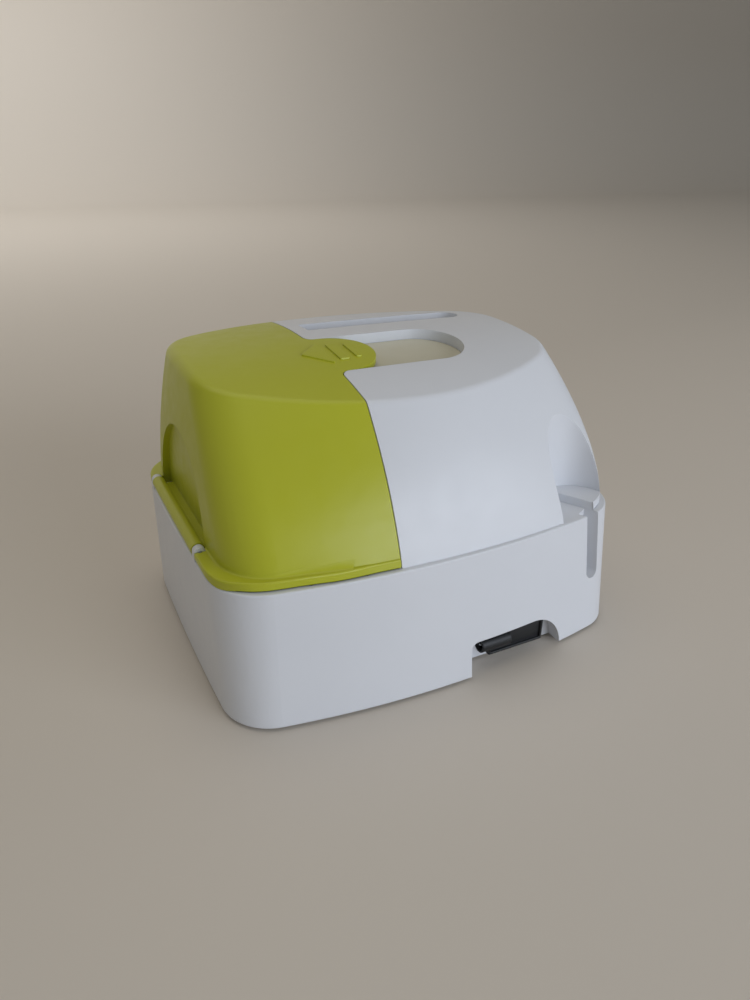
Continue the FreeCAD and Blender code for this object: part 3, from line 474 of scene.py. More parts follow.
def screw(
    place: Triple, down: bool, shank: float, head: Pair = (2.8, 1.6), radius: float = 1.5
) -> Shell:
    """A pan-head screw with a cross recess and a cut thread, as one polar surface.

    The head's face is a shallow dome h = 0.3 (r / R)^2 with a cross sunk into it: the depth is
    0.75 mm, fading with the distance from the nearer of the two arms and with the radius. The
    thread's radius rises and falls once a pitch along a helix.

    Args:
        place: The middle of the head's face.
        down: Whether the screw points down, its head on top.
        shank: The length under the head.
        head: The head's radius and height.
        radius: The thread's outer radius.

    Returns:
        The closed surface.
    """
    angle = np.linspace(0.0, 2 * math.pi, 36, endpoint=False)[None, :]
    wide, deep = head
    r = np.linspace(0.02, wide * 0.86, 15)[:, None]
    arm = r * np.minimum(np.abs(np.sin(angle)), np.abs(np.cos(angle)))
    cross = np.clip((0.62 - arm) / 0.3, 0, 1) * np.clip((1.75 - r) / 0.35, 0, 1)
    face = 0.3 * (r / wide) ** 2 + 0.75 * cross
    edge = eased([(wide * 0.86, 0.25), (wide, 0.5), (wide, deep), (radius, deep)], 0.3, 4)
    pitch, depth = 1.1, 0.28
    run = np.arange(deep + 0.1, deep + shank - 1.2, pitch / 6)[:, None]
    wave = 1 - np.abs(2 * np.mod(run / pitch - angle / (2 * math.pi), 1.0) - 1)
    thread = radius - depth * wave
    tip = np.array([(radius * 0.7, deep + shank - 0.6), (0.3, deep + shank)])

    def rows(radii: np.ndarray, depths: np.ndarray) -> np.ndarray:
        """Radii and depths spread over the same rows and angles."""
        return np.stack(np.broadcast_arrays(radii * np.cos(angle), radii * np.sin(angle), depths), -1)

    parts = ((r, face), (edge[:, :1], edge[:, 1:]), (thread, run), (tip[:, :1], tip[:, 1:]))
    points = np.concatenate([rows(*part) for part in parts])
    points[..., 2] *= -1 if down else 1
    return grid(points + np.array(place))


def placed(
    mesh: bpy.types.Mesh, name: str, body: Body, finish: Finish, replaces: Sequence[str]
) -> bpy.types.Object:
    """Puts a finished mesh in the scene as a piece that rides on a body.

    Args:
        mesh: The mesh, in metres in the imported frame.
        name: The piece's name.
        body: What it moves with.
        finish: Its material.
        replaces: CAD nodes that it stands for.

    Returns:
        The new object.
    """
    mesh.name = name
    piece = bpy.data.objects.new(name, mesh)
    bpy.context.scene.collection.objects.link(piece)
    dress(piece, finish)
    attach(piece, body.value)
    if replaces:
        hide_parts(*replaces)
    LOG.info("built %s, %d faces", name, len(mesh.polygons))
    return piece


def make(
    name: str,
    shells: Sequence[Shell],
    body: Body,
    finish: Finish,
    replaces: Sequence[str] = (),
    sharp: float = 38.0,
) -> bpy.types.Object:
    """Turns surfaces into one finished piece that rides on a body.

    Args:
        name: The piece's name.
        shells: Its closed surfaces.
        body: What it moves with.
        finish: Its material.
        replaces: CAD nodes that it stands for.
        sharp: Edges that turn by more than this many degrees stay sharp.

    Returns:
        The new object.
    """
    starts = np.cumsum([0] + [len(shell.points) for shell in shells])
    faces = [
        [k + int(start) for k in face]
        for shell, start in zip(shells, starts)
        for face in shell.faces
    ]
    mesh = bpy.data.meshes.new(name)
    mesh.from_pydata((np.concatenate([shell.points for shell in shells]) * MM).tolist(), [], faces)
    work = bmesh.new()
    work.from_mesh(mesh)
    bmesh.ops.remove_doubles(work, verts=work.verts, dist=MERGE)
    bmesh.ops.recalc_face_normals(work, faces=work.faces)
    work.to_mesh(mesh)
    work.free()
    mesh.polygons.foreach_set("use_smooth", np.ones(len(mesh.polygons), dtype=bool))
    mesh.set_sharp_from_angle(angle=math.radians(sharp))
    return placed(mesh, name, body, finish, replaces)


# --------------------------------------------------------------------------------------------
# The object's own forms
# --------------------------------------------------------------------------------------------
@dataclass(frozen=True)
class BowedOutline:
    """A rounded rectangle whose sides bow outwards: one arc to a side, one to a corner.

    The outline is read by the direction n of its outward normal. Where n points between the two
    tangent directions of a corner, the point is corner centre + corner radius * n, and else it
    is the side's centre + the side's radius * n. All sizes may be arrays, one to a point.
    """

    half: tuple[np.ndarray, np.ndarray]
    radii: tuple[np.ndarray, np.ndarray, np.ndarray]
    centre: tuple[np.ndarray, np.ndarray]

    def corner(self) -> tuple[np.ndarray, np.ndarray, np.ndarray, np.ndarray]:
        """A corner arc's centre, and the normal's directions where it meets end and side."""
        (a, b), (side, end, corner) = self.half, self.radii
        span_x, span_y = a - end, side - b
        gap = np.hypot(span_x, span_y)
        along = ((side - corner) ** 2 - (end - corner) ** 2 + gap**2) / (2 * gap)
        off = np.sqrt((side - corner) ** 2 - along**2)
        x = span_x / gap * along + span_y / gap * off
        y = b - side + span_y / gap * along - span_x / gap * off
        return x, y, np.arctan2(y, x - a + end), np.arctan2(y - b + side, x)

    def offset(self, place: np.ndarray) -> tuple[np.ndarray, np.ndarray]:
        """How far points stand outside the outline, and the outward direction there.

        Each point is measured from the centre of the arc it faces, less that arc's radius.
        """
        (a, b), (side, end, corner) = self.half, self.radii
        out = place - np.stack(self.centre, axis=-1)
        qx, qy = np.abs(out[:, 0]), np.abs(out[:, 1])
        x, y, end_turn, side_turn = self.corner()
        on_side = np.arctan2(qy - b + side, qx) > side_turn
        on_end = np.arctan2(qy, qx - a + end) < end_turn
        arm = np.stack([
            qx - np.where(on_side, 0.0, np.where(on_end, a - end, x)),
            qy - np.where(on_side, b - side, np.where(on_end, 0.0, y)),
        ], axis=-1)
        length = np.linalg.norm(arm, axis=1)
        far = length - np.where(on_side, side, np.where(on_end, end, corner))
        return far, arm / length[:, None] * np.sign(out)

    def at(self, angle: np.ndarray, grow: float = 0.0) -> np.ndarray:
        """The outline's points.

        Args:
            angle: Directions of the outward normal, in radians from +X.
            grow: How far the outline is moved outwards.

        Returns:
            Points, X and Y.
        """
        (a, b), (side, end, corner) = self.half, self.radii
        nx, ny = np.abs(np.cos(angle)), np.abs(np.sin(angle))
        x, y, end_turn, side_turn = self.corner()
        turn = np.arctan2(ny, nx)
        on_end, on_side = turn < end_turn, turn > side_turn
        middle_x = np.where(on_end, a - end, np.where(on_side, 0.0, x))
        middle_y = np.where(on_end, 0.0, np.where(on_side, b - side, y))
        radius = np.where(on_end, end, np.where(on_side, side, corner)) + grow
        px = (middle_x + radius * nx) * np.sign(np.cos(angle)) + self.centre[0]
        py = (middle_y + radius * ny) * np.sign(np.sin(angle)) + self.centre[1]
        return np.stack([px, py], axis=-1)


@dataclass(frozen=True)
class Dome:
    """The dome that the lid and the cover share: sizes at its foot and at its upper crease."""

    shift_y: float = 13.5
    rim_z: float = 66.5
    top_z: float = 144.0
    rise: float = 69.0
    foot_half: Pair = (105.4, 83.3)
    top_half: Pair = (98.5, 64.0)
    foot_radii: Triple = (475.0, 1800.0, 25.0)
    top_radii: Triple = (185.0, 300.0, 30.0)
    foot_centre: Pair = (2.6, -7.7)
    top_centre: Pair = (1.3, 9.0)
    swell: Pair = (2.4, 1.55)
    crown_radius: float = 330.0
    crown_barrel: float = 4000.0
    crown_y: float = 32.0

    def wall(self, height: np.ndarray) -> BowedOutline:
        """The wall's outline at heights over the rim.

        A size at share s of the way up is foot + (top - foot) * s, and a side's curvature
        blends in the same way; s is (height / rise) to the power of the swell.
        """
        along, across = (np.power(height / self.rise, power) for power in self.swell)

        def mix(low: float, high: float, share: np.ndarray) -> np.ndarray:
            """A size between its foot and its crease values."""
            return low + (high - low) * share

        side, end = (
            1.0 / mix(1.0 / self.foot_radii[k], 1.0 / self.top_radii[k], across) for k in (0, 1)
        )
        return BowedOutline(
            (
                mix(self.foot_half[0], self.top_half[0], along),
                mix(self.foot_half[1], self.top_half[1], across),
            ),
            (side, end, mix(self.foot_radii[2], self.top_radii[2], across)),
            (
                mix(self.foot_centre[0], self.top_centre[0], along),
                mix(self.foot_centre[1], self.top_centre[1], across) + self.shift_y,
            ),
        )

    def crown(self, x: np.ndarray, y: np.ndarray) -> np.ndarray:
        """The crown's height: a circle front to rear that sinks as x^2 / 2R towards the ends."""
        back = y - self.shift_y - self.crown_y
        circle = np.sqrt(self.crown_radius**2 - back**2) - self.crown_radius
        return self.top_z + circle - x**2 / (2 * self.crown_barrel)


@dataclass
class Skirt:
    """The front wall's last stretch over the rim, on the lid and the cover alike.

    The wall is drawn out towards the rim by reach * (1 - height / tall)^2, and the lid's lip is
    drawn in until it runs out into the wall at the seam. A narrow ledge of the base then shows
    all along the front, with a fine gap of shadow under the lid.
    """

    dome: Dome
    reach: float = 2.6
    tall: float = 25.0
    lip: float = 4.4
    lip_share: float = 0.5
    gap: float = 0.7
    seam_x: float = -28.25
    seam_round: float = 1.8
    far_left: Pair = (-107.5, -97.0)
    wall_starts: Pair = (-75.0, -36.0)
    wall_ends: Pair = (80.0, 98.0)
    lip_ends: Pair = (-62.0, -36.0)
    front_y: float = -31.5
    skin_reach: float = 0.4
    lip_from: float = 0.3
    normal_name: str = "kept_normal"
    z_cuts: Sequence[float] = (0.5, 1.1, 1.9, 3.0, 4.4, 6.0, 8.0, 10.5, 13.5, 17.0, 21.0, 25.0)

    @staticmethod
    def ramp(x: np.ndarray, span: Pair) -> np.ndarray:
        """A smooth step from 0 to 1 over a span: t^2 (3 - 2t)."""
        t = np.clip((x - span[0]) / (span[1] - span[0]), 0, 1)
        return t * t * (3 - 2 * t)

    def flare(self, x: np.ndarray, height: np.ndarray) -> tuple[np.ndarray, np.ndarray]:
        """How far the wall is drawn out at heights over the rim, and the slope that this adds."""
        share = self.ramp(x, self.wall_starts) * (1 - self.ramp(x, self.wall_ends))
        left = np.clip(1 - height / self.tall, 0, 1)
        return self.reach * share * left**2, 2 * self.reach * share * left / self.tall

    def lip_width(self, x: np.ndarray, width: np.ndarray) -> np.ndarray:
        """What is left of the lip's width beyond the wall's own flare."""
        kept = 1 - (1 - self.lip_share) * self.ramp(x, self.far_left)
        gone = self.ramp(x, self.lip_ends)
        return width * kept * (1 - gone) + (0.05 + 0.02 * width) * gone

    def cut(self, node: str, x_cuts: np.ndarray) -> bpy.types.Mesh:
        """Copies a node's mesh and cuts it across and over the front wall.

        The copy is merged first. Its own normals go with it as a corner attribute, which the
        cuts interpolate.

        Args:
            node: The CAD node.
            x_cuts: Where the wall is cut across.

        Returns:
            The cut copy.
        """
        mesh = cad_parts[node].data.copy()
        mesh.materials.clear()
        kept = mesh.attributes.new(self.normal_name, "FLOAT_VECTOR", "CORNER")
        normals = np.empty(len(mesh.loops) * 3, dtype=np.float32)
        mesh.corner_normals.foreach_get("vector", normals)
        kept.data.foreach_set("vector", normals)
        work = bmesh.new()
        work.from_mesh(mesh)
        bmesh.ops.remove_doubles(work, verts=work.verts, dist=MERGE)
        top, front = (self.dome.rim_z + self.tall) * MM, self.front_y * MM
        planes = [((x, 0, 0), (1, 0, 0)) for x in x_cuts]
        planes += [((0, 0, self.dome.rim_z + height), (0, 0, 1)) for height in self.z_cuts]
        for place, normal in planes:
            faces = [
                face for face in work.faces
                if all(v.co.y < front for v in face.verts) and min(v.co.z for v in face.verts) < top
            ]
            around = {edge for face in faces for edge in face.edges}
            around |= {vertex for face in faces for vertex in face.verts}
            bmesh.ops.bisect_plane(
                work, geom=[*faces, *around], plane_co=Vector(place) * MM, plane_no=normal,
                dist=MERGE,
            )
        work.to_mesh(mesh)
        work.free()
        return mesh

    def draw(self, mesh: bpy.types.Mesh, is_lid: bool) -> None:
        """Moves the front wall's points, and tilts its normals by the slope that this adds.

        Args:
            mesh: The cut copy.
            is_lid: Whether it is the lid's, with a gap of shadow and a rounded corner.
        """
        flat = np.empty(len(mesh.vertices) * 3)
        mesh.vertices.foreach_get("co", flat)
        point = flat.reshape(-1, 3) / MM
        height = point[:, 2] - self.dome.rim_z
        far, out = self.dome.wall(np.clip(height, 1e-3, self.tall)).offset(point[:, :2])
        moved = (point[:, 1] < self.front_y) & (height > -0.02) & (height < self.tall)
        moved &= far > -self.skin_reach
        lip = moved & (far > self.lip_from) & (height < self.lip + 0.03)
        x = point[:, 0].copy()
        flare, slope = self.flare(x, height)
        shift = np.where(lip, flare + self.lip_width(x, far) - far, flare) * moved
        point[:, :2] += out * shift[:, None]
        if is_lid:
            low = moved & (height < 0.05)
            point[:, 2] += self.gap * self.ramp(x, self.far_left) * low
            under = self.seam_round - np.clip(height, 0, self.seam_round)
            rounded = self.seam_round - np.sqrt(self.seam_round**2 - under**2)
            point[:, 0] = np.where(moved, np.minimum(x, self.seam_x - rounded), point[:, 0])
        mesh.vertices.foreach_set("co", (point * MM).ravel())
        corner_vertex = np.empty(len(mesh.loops), dtype=np.int32)
        mesh.loops.foreach_get("vertex_index", corner_vertex)
        kept = mesh.attributes[self.normal_name]
        flat = np.empty(len(mesh.loops) * 3, dtype=np.float32)
        kept.data.foreach_get("vector", flat)
        normals = flat.reshape(-1, 3)
        faces_out = (normals[:, :2] * out[corner_vertex]).sum(axis=1) > 0.5
        normals[:, 2] += slope[corner_vertex] * moved[corner_vertex] * faces_out
        normals /= np.linalg.norm(normals, axis=1, keepdims=True)
        mesh.attributes.remove(kept)
        mesh.normals_split_custom_set(normals.tolist())

    def build(self) -> None:
        """Redraws the lid's shell and the cover, and puts each in its node's place."""
        near_seam = self.seam_x - np.array([0.12, 0.45, 1.0, 1.8])
        lid = self.cut("lid_shell", np.concatenate([np.arange(-107.0, -30.0, 2.5), near_seam]))
        self.draw(lid, True)
        placed(lid, "lid_skin", Body.LID, LIME_ABS, ["lid_shell"])
        cover = self.cut("top_cover", np.arange(-24.0, 101.0, 4.0))
        self.draw(cover, False)
        placed(cover, "cover_skin", Body.HOUSING, WHITE_ABS, ["top_cover"])


@dataclass
class Lid:
    """What the lime lid carries beyond its shell."""

    skirt: Skirt
    seam_angle: float = 96.5
    hinge_angle: float = 178.7
    rim_width: float = 5.2
    root_small: Pair = (0.9, 0.9)
    root_large: Pair = (2.6, 6.5)
    pad_height: float = 0.75
    triangle: Sequence[Pair] = ((-39.0, 7.5), (-26.6, -5.9), (-26.6, 19.2))
    bars: Sequence[Quad] = (
        (-22.6, -17.4, -2.8, 16.6),
        (-13.6, -10.6, -1.9, 15.0),
    )

    def foot_root(self) -> None:
        """The hollow root between the lid's wall and its lip.

        Its section is the curve (1-t)^2 W + 2t(1-t) C + t^2 L from a point W up the wall,
        through the inner corner C, to a point L out on the lip. It starts small and crisp at
        the hinge and grows as a smooth step into a wide, soft hollow towards the seam.
        """
        skirt, dome, lip_top = self.skirt, self.skirt.dome, self.skirt.lip
        dense = np.radians(-np.linspace(self.seam_angle, self.hinge_angle, 4000))
        lip_height = np.full_like(dense, lip_top)
        line = dome.wall(lip_height).at(dense)
        run = np.concatenate([[0.0], np.cumsum(np.linalg.norm(np.diff(line, axis=0), axis=1))])
        angle = np.interp(np.linspace(0.0, run[-1], 150), run, dense)
        share = np.clip((line[:, 0] + 96.0) / 60.0, 0, 1)
        share = np.interp(angle[::-1], dense[::-1], (share * share * (3 - 2 * share))[::-1])[::-1]
        out = self.root_small[0] + (self.root_large[0] - self.root_small[0]) * share
        up = self.root_small[1] + (self.root_large[1] - self.root_small[1]) * share
        inner = dome.wall(np.full_like(angle, lip_top))
        corner = inner.at(angle)
        outward = inner.at(angle, 1.0) - corner
        x = corner[:, 0]
        out = np.minimum(out, skirt.lip_width(x, np.full_like(x, self.rim_width)) - 0.1)
        corner = corner + outward * skirt.flare(x, lip_height[:1])[0][:, None]
        drawn = skirt.flare(x, lip_top + up)[0][:, None]
        high = dome.wall(lip_top + up).at(angle) + outward * drawn
        base = dome.rim_z + lip_top
        level = np.full((len(angle), 1), base)
        wall = np.concatenate([high, level + up[:, None]], axis=1)[:, None]
        root = np.concatenate([corner, level], axis=1)[:, None]
        lip = np.concatenate([corner + outward * out[:, None], level], axis=1)[:, None]
        t = np.linspace(0.0, 1.0, 13)[None, :, None]
        curve = (1 - t) ** 2 * wall + 2 * t * (1 - t) * root + t**2 * lip
        inwards = np.concatenate([-outward, np.zeros((len(angle), 1))], axis=1)[:, None]
        below = np.array([0.0, 0.0, -0.35])
        hidden = [lip + below, root + 0.8 * inwards + below, wall + 0.8 * inwards]
        ring = np.concatenate([curve, *hidden], axis=1)
        make("lid_foot_root", [grid(ring)], Body.LID, LIME_ABS, sharp=60.0)

    def pad(self, corners: Sequence[Pair], ease: float) -> Shell:
        """A low raised pad on the crown, its outline carried up and drawn in to its middle.

        Rows of the grid are the outline scaled about its middle; each point's height is the
        crown's height there plus the row's own, which rounds the rim over and stays level
        inside.
        """
        outline = eased(corners, ease, 7, True)
        middle = outline.mean(axis=0)
        size = np.linalg.norm(outline - middle, axis=1).mean()
        turn = np.linspace(0.0, math.pi / 2, 5)
        inset = np.concatenate([[0.0], 0.22 * (1 - np.cos(turn)), [0.5, size * 0.5, size * 0.985]])
        rise = np.concatenate([[-0.5], self.pad_height * np.sin(turn), [self.pad_height] * 3])
        flat = middle + (outline - middle)[None] * (1 - inset / size)[:, None, None]
        height = self.skirt.dome.crown(flat[..., 0], flat[..., 1]) + rise[:, None]
        return grid(np.concatenate([flat, height[..., None]], axis=2))

    def direction_sign(self) -> None:
        """A plain pointer and two bars, moulded on the tongue to show which way the lid opens."""
        shells = [self.pad(self.triangle, 1.0)]
        shells += [self.pad([(a, c), (b, c), (b, d), (a, d)], 0.8) for a, b, c, d in self.bars]
        make("lid_direction_sign", shells, Body.LID, LIME_ABS, sharp=60.0)

    def seal(self) -> None:
        """The silicone ring, with two round beads on its lower face.

        The section is a flat strip whose underside is two half circles side by side, carried
        round a rounded rectangle.
        """
        low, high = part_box("lid_seal")
        x, y = (low.x / MM, high.x / MM), (low.y / MM, high.y / MM)
        width, inset = 4.0, 2.0
        line = eased(
            [(x[0] + inset, y[0] + inset), (x[1] - inset, y[0] + inset),
             (x[1] - inset, y[1] - inset), (x[0] + inset, y[1] - inset)], 22.0, 15, True,
        )
        path = np.concatenate([line, np.full((len(line), 1), low.z / MM)], axis=1)
        arc = np.linspace(math.pi, 0.0, 9)
        bead = width / 4
        beads = [
            np.stack([c + bead * np.cos(arc), bead * (1 - np.sin(arc))], axis=1)
            for c in (-bead, bead)
        ]
        top = (high.z - low.z) / MM
        section = np.concatenate([*beads, [(width / 2, top), (-width / 2, top)]])
        ring = [carried(path, section, True)]
        make("lid_seal_ring", ring, Body.LID, SILICONE, ["lid_seal"])

    def build(self) -> None:
        """Makes every piece of the lid."""
        self.foot_root()
        self.direction_sign()
        self.seal()


@dataclass
class Base:
    """The fine pieces of the lower housing: feet, screws, inlet and connector."""

    boss_places: Sequence[Pair] = ((-96.0, -46.5), (-96.0, 63.5), (94.0, -38.5), (94.0, 63.5))
    cover_places: Sequence[Pair] = ((-19.0, -71.5), (-19.0, 83.5), (50.0, -69.0), (96.5, 71.0))
    foot_places: Sequence[Pair] = ((-84.0, -60.5), (-82.0, 63.5), (84.0, -52.5), (82.0, 63.5))
    plate_z: float = 2.0
    jack: Triple = (14.3, -83.5, 14.0)
    shroud_top: float = 18.6
    shroud_rim: float = 1.6

    def feet(self) -> None:
        """Rubber pads: a turned profile with a rounded rim, a ring groove and a dished middle."""
        profile = eased(
            [(0.0, 0.35), (3.2, 0.35), (3.6, 0.0), (4.6, 0.0), (4.8, 0.45), (5.3, 0.45), (5.5, 0.0),
             (6.5, 0.0), (7.0, 0.6), (7.0, self.plate_z), (0.0, self.plate_z)], 0.22, 4,
        )
        pads = [turned(profile, (x, y, 0.0)) for x, y in self.foot_places]
        make("rubber_foot_pads", pads, Body.HOUSING, RUBBER, ["rubber_feet"])

    def screws(self) -> None:
        """The housing's screws, under the plate and under the deck, all driven upwards."""
        lower = [screw((x, y, self.plate_z), False, 12.9) for x, y in self.boss_places]
        make("bottom_screw_set", lower, Body.HOUSING, STEEL, ["bottom_screws"])
        upper = [screw((x, y, 61.9), False, 11.0) for x, y in self.cover_places]
        make("cover_screw_set", upper, Body.HOUSING, STEEL, ["cover_screws"])

    def collars(self) -> None:
        """Low moulded collars on the underside round each screw and each foot."""
        ring = eased([(0.0, 0.3), (0.0, -0.45), (0.9, -0.45), (0.9, 0.3)], 0.2, 4, True)
        rings = [
            turned(ring + (radius, 0.0), (x, y, self.plate_z), hollow=True)
            for radius, places in ((3.4, self.boss_places), (7.4, self.foot_places))
            for x, y in places
        ]
        make("underside_collars", rings, Body.HOUSING, GREY_PP)

    def inlet(self) -> None:
        """The power inlet: a turned barrel with a stepped mouth, and its contact pin."""
        barrel = eased(
            [(4.0, 0.0), (4.0, 17.0), (1.2, 17.0), (1.2, 7.6), (2.5, 7.6), (2.5, 1.3), (3.0, 0.9),
             (3.0, 0.0)], 0.3, 4, True,
        )
        shell = [turned(barrel, self.jack, Axis.REAR, 48, True)]
        make("inlet_barrel", shell, Body.HOUSING, BLACK_PBT, ["dc_jack"])
        pin = eased(
            [(0.0, 0.5), (0.55, 0.6), (0.82, 1.3), (0.82, 8.4), (1.15, 8.4), (1.15, 9.4),
             (0.0, 9.4)], 0.25, 4,
        )
        make("inlet_pin", [turned(pin, self.jack, Axis.REAR, 24)], Body.HOUSING, STEEL)

    def connector(self) -> None:
        """The connector's moulded shroud: a block with a raised rim round its plain front."""
        low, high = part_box("connector_block")
        x, z = (low.x / MM, high.x / MM), (low.z / MM, self.shroud_top)
        front, back = low.y / MM, high.y / MM
        rim, rim_back = self.shroud_rim, front + 3.0
        parts = [block(x, (front + 1.2, back), z, 0.7)]
        for side in ((z[0], z[0] + rim), (z[1] - rim, z[1])):
            parts.append(block(x, (front, rim_back), side, 0.6))
        for side in ((x[0], x[0] + rim), (x[1] - rim, x[1])):
            parts.append(block(side, (front + 0.01, rim_back), (z[0] + 0.4, z[1] - 0.4), 0.6))
        make("connector_shroud", parts, Body.HOUSING, BLACK_PBT,
             ["connector_block"])

    def build(self) -> None:
        """Makes every piece of the lower housing."""
        self.feet()
        self.screws()
        self.collars()
        self.inlet()
        self.connector()


@dataclass
class Mechanism:
    """The geared motor and the screws of the mechanism plate."""

    axis_y: float = 13.5
    plate_top: float = 21.0
    motor_x: float = 13.0
    can_radius: float = 18.0
    can_height: float = 36.0
    posts: Sequence[Pair] = ((-97.0, -22.0), (-97.0, 49.0), (33.5, -21.5), (33.5, 48.5))

    def screws(self) -> None:
        """The plate's own screws and the two that hold the motor from below."""
        own = [screw((x, y, self.plate_top + 1.6), True, 10.4) for x, y in self.posts]
        make("plate_screw_set", own, Body.HOUSING, STEEL, ["sub_plate_screws"])
        held = [
            screw((self.motor_x, self.axis_y + side, 16.9), False, 6.5) for side in (-13.0, 13.0)
        ]
        make("motor_screw_set", held, Body.HOUSING, STEEL, ["motor_screws"])

    def motor(self) -> None:
        """The geared motor: gear case, rolled steel can and moulded end cap, all turned."""
        z, r, top = self.plate_top, self.can_radius, self.plate_top + self.can_height
        centre = (self.motor_x, self.axis_y, 0.0)
        case = eased(
            [(2.55, z - 2.5), (5.5, z - 2.5), (5.5, z), (r, z), (r, z + 12.0), (r - 0.5, z + 12.3),
             (r - 0.5, z + 12.9), (r - 0.2, z + 13.2), (r - 0.2, top - 1.2), (r - 1.4, top),
             (11.0, top), (10.4, top - 0.6), (2.55, top - 0.6)], 0.35, 4, True,
        )
        can = [turned(case, centre, steps=72, hollow=True)]
        make("motor_can", can, Body.HOUSING, STEEL, ["gear_motor"])
        cap = eased([(0.0, top - 0.8), (9.9, top - 0.8), (9.9, top + 1.4), (9.2, top + 2.0),
                     (3.4, top + 2.0), (3.0, top + 1.4), (0.0, top + 1.4)], 0.3, 4)
        make("motor_end_cap", [turned(cap, centre)], Body.HOUSING, BLACK_PBT)
        y, z = (self.axis_y - 1.5, self.axis_y + 1.5), (top + 1.0, top + 5.0)
        sides = (self.motor_x - 6.5, self.motor_x + 6.5)
        tags = [block((x - 0.3, x + 0.3), y, z, 0.1) for x in sides]
        make("motor_tags", tags, Body.HOUSING, BRONZE)

    def build(self) -> None:
        """Makes every piece of the mechanism."""
        self.screws()
        self.motor()


@dataclass
class ControlBoard:
    """The parts soldered on the circuit board."""

    corner: Pair = (46.0, -20.5)
    top: float = 29.6
    chip: Quad = (22.0, 34.0, 34.0, 46.0)
    headers: Sequence[tuple[float, float, float, float, int]] = (
        (14, 34, 4, 10, 8),
        (14, 28, 66, 72, 5),
    )
    cans: Sequence[Pair] = ((12.0, 20.0), (12.0, 32.0))

    def box_at(self, x: Pair, y: Pair, z: Pair, ease: float) -> Shell:
        """A moulded block measured from the board's corner and its upper face."""
        origin = (*self.corner, self.top)
        return block(*((low + by, high + by) for (low, high), by in zip((x, y, z), origin)), ease)

    def build(self) -> None:
        """Makes the board's parts: chip, headers, capacitors, chip resistors and their legs."""
        x0, x1, y0, y1 = self.chip
        dark = [self.box_at((x0 + 1, x1 - 1), (y0 + 1, y1 - 1), (0.15, 1.6), 0.2)]
        legs = []
        for k in np.linspace(y0 + 2, y1 - 2, 9):
            for side in (x0 + 0.2, x1 - 1.4):
                legs.append(self.box_at((side, side + 1.2), (k - 0.2, k + 0.2), (0.0, 0.5), 0.08))
        for a, b, c, d, count in self.headers:
            dark.append(self.box_at((a, b), (c, c + 1.0), (0.0, 7.0), 0.2))
            dark.append(self.box_at((a, b), (d - 1.0, d), (0.0, 7.0), 0.2))
            dark.append(self.box_at((a, b), (c + 0.5, d - 0.5), (0.0, 2.2), 0.2))
            for e in (a, b - 1.0):
                dark.append(self.box_at((e, e + 1.0), (c + 0.5, d - 0.5), (0.0, 7.0), 0.2))
            for k in np.linspace(a + 2.2, b - 2.2, count):
                legs.append(self.box_at((k - 0.3, k + 0.3), (c + 2.7, c + 3.3), (2.0, 6.2), 0.1))
        make("board_moulded_parts", dark, Body.HOUSING, BLACK_PBT, ["board_parts"])
        rim = eased([(0.0, 0.6), (3.7, 0.6), (3.95, 0.9), (3.95, 1.5), (3.6, 1.8), (3.95, 2.1),
                     (3.95, 9.4), (3.4, 10.0), (3.1, 9.8), (0.0, 9.8)], 0.25, 4)
        dx, dy = self.corner
        made = [turned(rim, (x + dx, y + dy, self.top), steps=40) for x, y in self.cans]
        make("board_capacitors", made, Body.HOUSING, STEEL)
        small = [
            self.box_at((x, x + 2.0), (y, y + 1.2), (0.0, 0.6), 0.12)
            for x in (24.0, 28.0, 32.0, 36.0)
            for y in (16.0, 20.0, 24.0, 50.0, 54.0, 58.0)
        ]
        make("board_chip_resistors", small, Body.HOUSING, ACETAL)
        make("board_contacts", legs, Body.HOUSING, BRONZE)


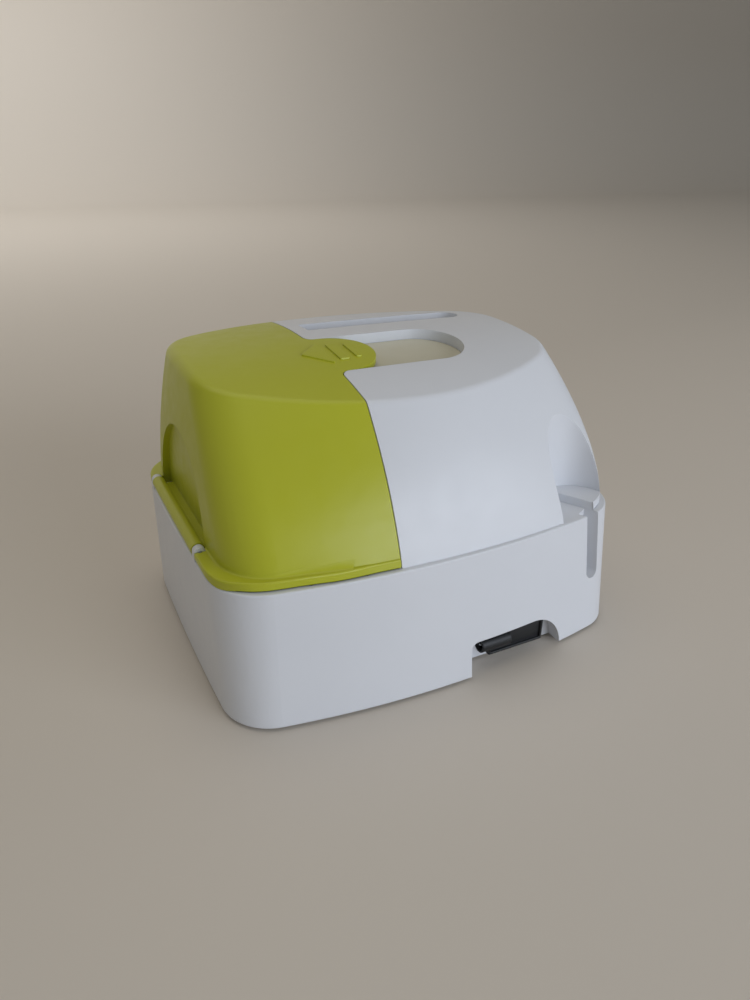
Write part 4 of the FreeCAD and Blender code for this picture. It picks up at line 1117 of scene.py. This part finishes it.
# --------------------------------------------------------------------------------------------
# Studio
# --------------------------------------------------------------------------------------------
@dataclass
class Studio:
    """Floor, backdrop, lamps and the camera."""

    eye: tuple[float, float, float] = (-0.1667, -0.3206, 0.2365)
    yaw: float = -0.4765
    pitch: float = 0.4563
    roll: float = 0.0166
    lens_mm: float = 26.53
    sensor_mm: float = 36.0
    floor_colour: str = "#D9D0C4"

    def camera(self) -> None:
        """Stands the camera at the eye, turned by yaw, dipped by pitch and rolled."""
        data = bpy.data.cameras.new("camera")
        data.lens = self.lens_mm
        data.sensor_width = self.sensor_mm
        data.clip_start = 0.01
        cam = bpy.data.objects.new("camera", data)
        bpy.context.scene.collection.objects.link(cam)
        turn = Matrix.Rotation(self.yaw, 4, "Z") @ Matrix.Rotation(math.pi / 2 - self.pitch, 4, "X")
        cam.matrix_world = (
            Matrix.Translation(self.eye) @ turn @ Matrix.Rotation(self.roll, 4, "Z")
        )
        bpy.context.scene.camera = cam

    def lamp(
        self,
        name: str,
        place: tuple[float, float, float],
        aim: tuple[float, float, float],
        size: tuple[float, float],
        watts: float,
        colour: str,
    ) -> None:
        """Adds a soft rectangular lamp.

        Args:
            name: The lamp's name.
            place: Where it hangs.
            aim: The point that it faces.
            size: Its width and height.
            watts: Its power.
            colour: Its sRGB colour.
        """
        data = bpy.data.lights.new(name, "AREA")
        data.shape = "RECTANGLE"
        data.size, data.size_y = size
        data.energy = watts
        data.color = linear(colour)[:3]
        lamp = bpy.data.objects.new(name, data)
        bpy.context.scene.collection.objects.link(lamp)
        direction = Vector(aim) - Vector(place)
        lamp.matrix_world = (
            Matrix.Translation(place) @ direction.to_track_quat("-Z", "Y").to_matrix().to_4x4()
        )

    def floor(self) -> None:
        """Lays a floor that curves up behind into a backdrop: a profile carried along X."""
        along = np.array([-6.0, 6.0])
        bend = np.linspace(0.0, math.pi / 2, 24)
        radius, back = 0.8, 2.6
        y = np.concatenate([[-6.0], back + radius * np.sin(bend), [back + radius]])
        z = np.concatenate([[0.0], radius * (1.0 - np.cos(bend)), [5.0]])
        points = np.stack(
            [np.repeat(along, len(y)), np.tile(y, 2), np.tile(z, 2)], axis=1
        )
        i = np.arange(len(y) - 1)
        faces = np.stack([i, i + len(y), i + len(y) + 1, i + 1], axis=1)
        mesh = bpy.data.meshes.new("floor")
        mesh.from_pydata(points.tolist(), [], faces.tolist())
        mesh.polygons.foreach_set("use_smooth", np.ones(len(faces), dtype=bool))
        floor = bpy.data.objects.new("floor", mesh)
        bpy.context.scene.collection.objects.link(floor)
        made = bpy.data.materials.new("floor")
        made.use_nodes = True
        shader = made.node_tree.nodes["Principled BSDF"]
        shader.inputs["Base Color"].default_value = linear(self.floor_colour)
        shader.inputs["Roughness"].default_value = 0.6
        mesh.materials.append(made)

    def world(self) -> None:
        """Gives an even pale surround."""
        world = bpy.data.worlds.new("surround")
        world.use_nodes = True
        tree = world.node_tree
        tree.nodes["Background"].inputs["Color"].default_value = linear("#E4E8EA")
        tree.nodes["Background"].inputs["Strength"].default_value = 0.28
        bpy.context.scene.world = world

    def build(self) -> None:
        """Makes all of it."""
        self.camera()
        self.floor()
        self.world()
        self.lamp("window", (0.72, -1.5, 0.42), (0.0, 0.0, 0.06), (1.3, 0.9), 15.4, "#EAF2FF")
        self.lamp("ceiling", (-0.1, 0.3, 1.8), (0.0, 0.0, 0.0), (1.6, 1.6), 6.8, "#FFF6E8")
        self.lamp("left_fill", (-1.6, -0.6, 0.8), (0.0, 0.0, 0.08), (1.2, 1.0), 0.3, "#FFF6E8")
        self.lamp("backdrop", (-0.6, 1.5, 1.9), (-1.0, 3.2, 0.7), (2.4, 0.8), 34.0, "#FFFFFF")
        bpy.context.scene.view_settings.view_transform = "Standard"


def main() -> None:
    """Builds every piece and reports it."""
    logging.basicConfig(level=logging.INFO, format="%(message)s")
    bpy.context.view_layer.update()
    for name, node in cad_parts.items():
        dress(node, SLOT_FINISH[node.material_slots[0].material.name.split(".")[0]])
        LOG.info("dressed %s", name)
    skirt = Skirt(Dome())
    for group in (skirt, Lid(skirt), Base(), Mechanism(), ControlBoard(), Studio()):
        group.build()


if __name__ == "__main__":
    main()
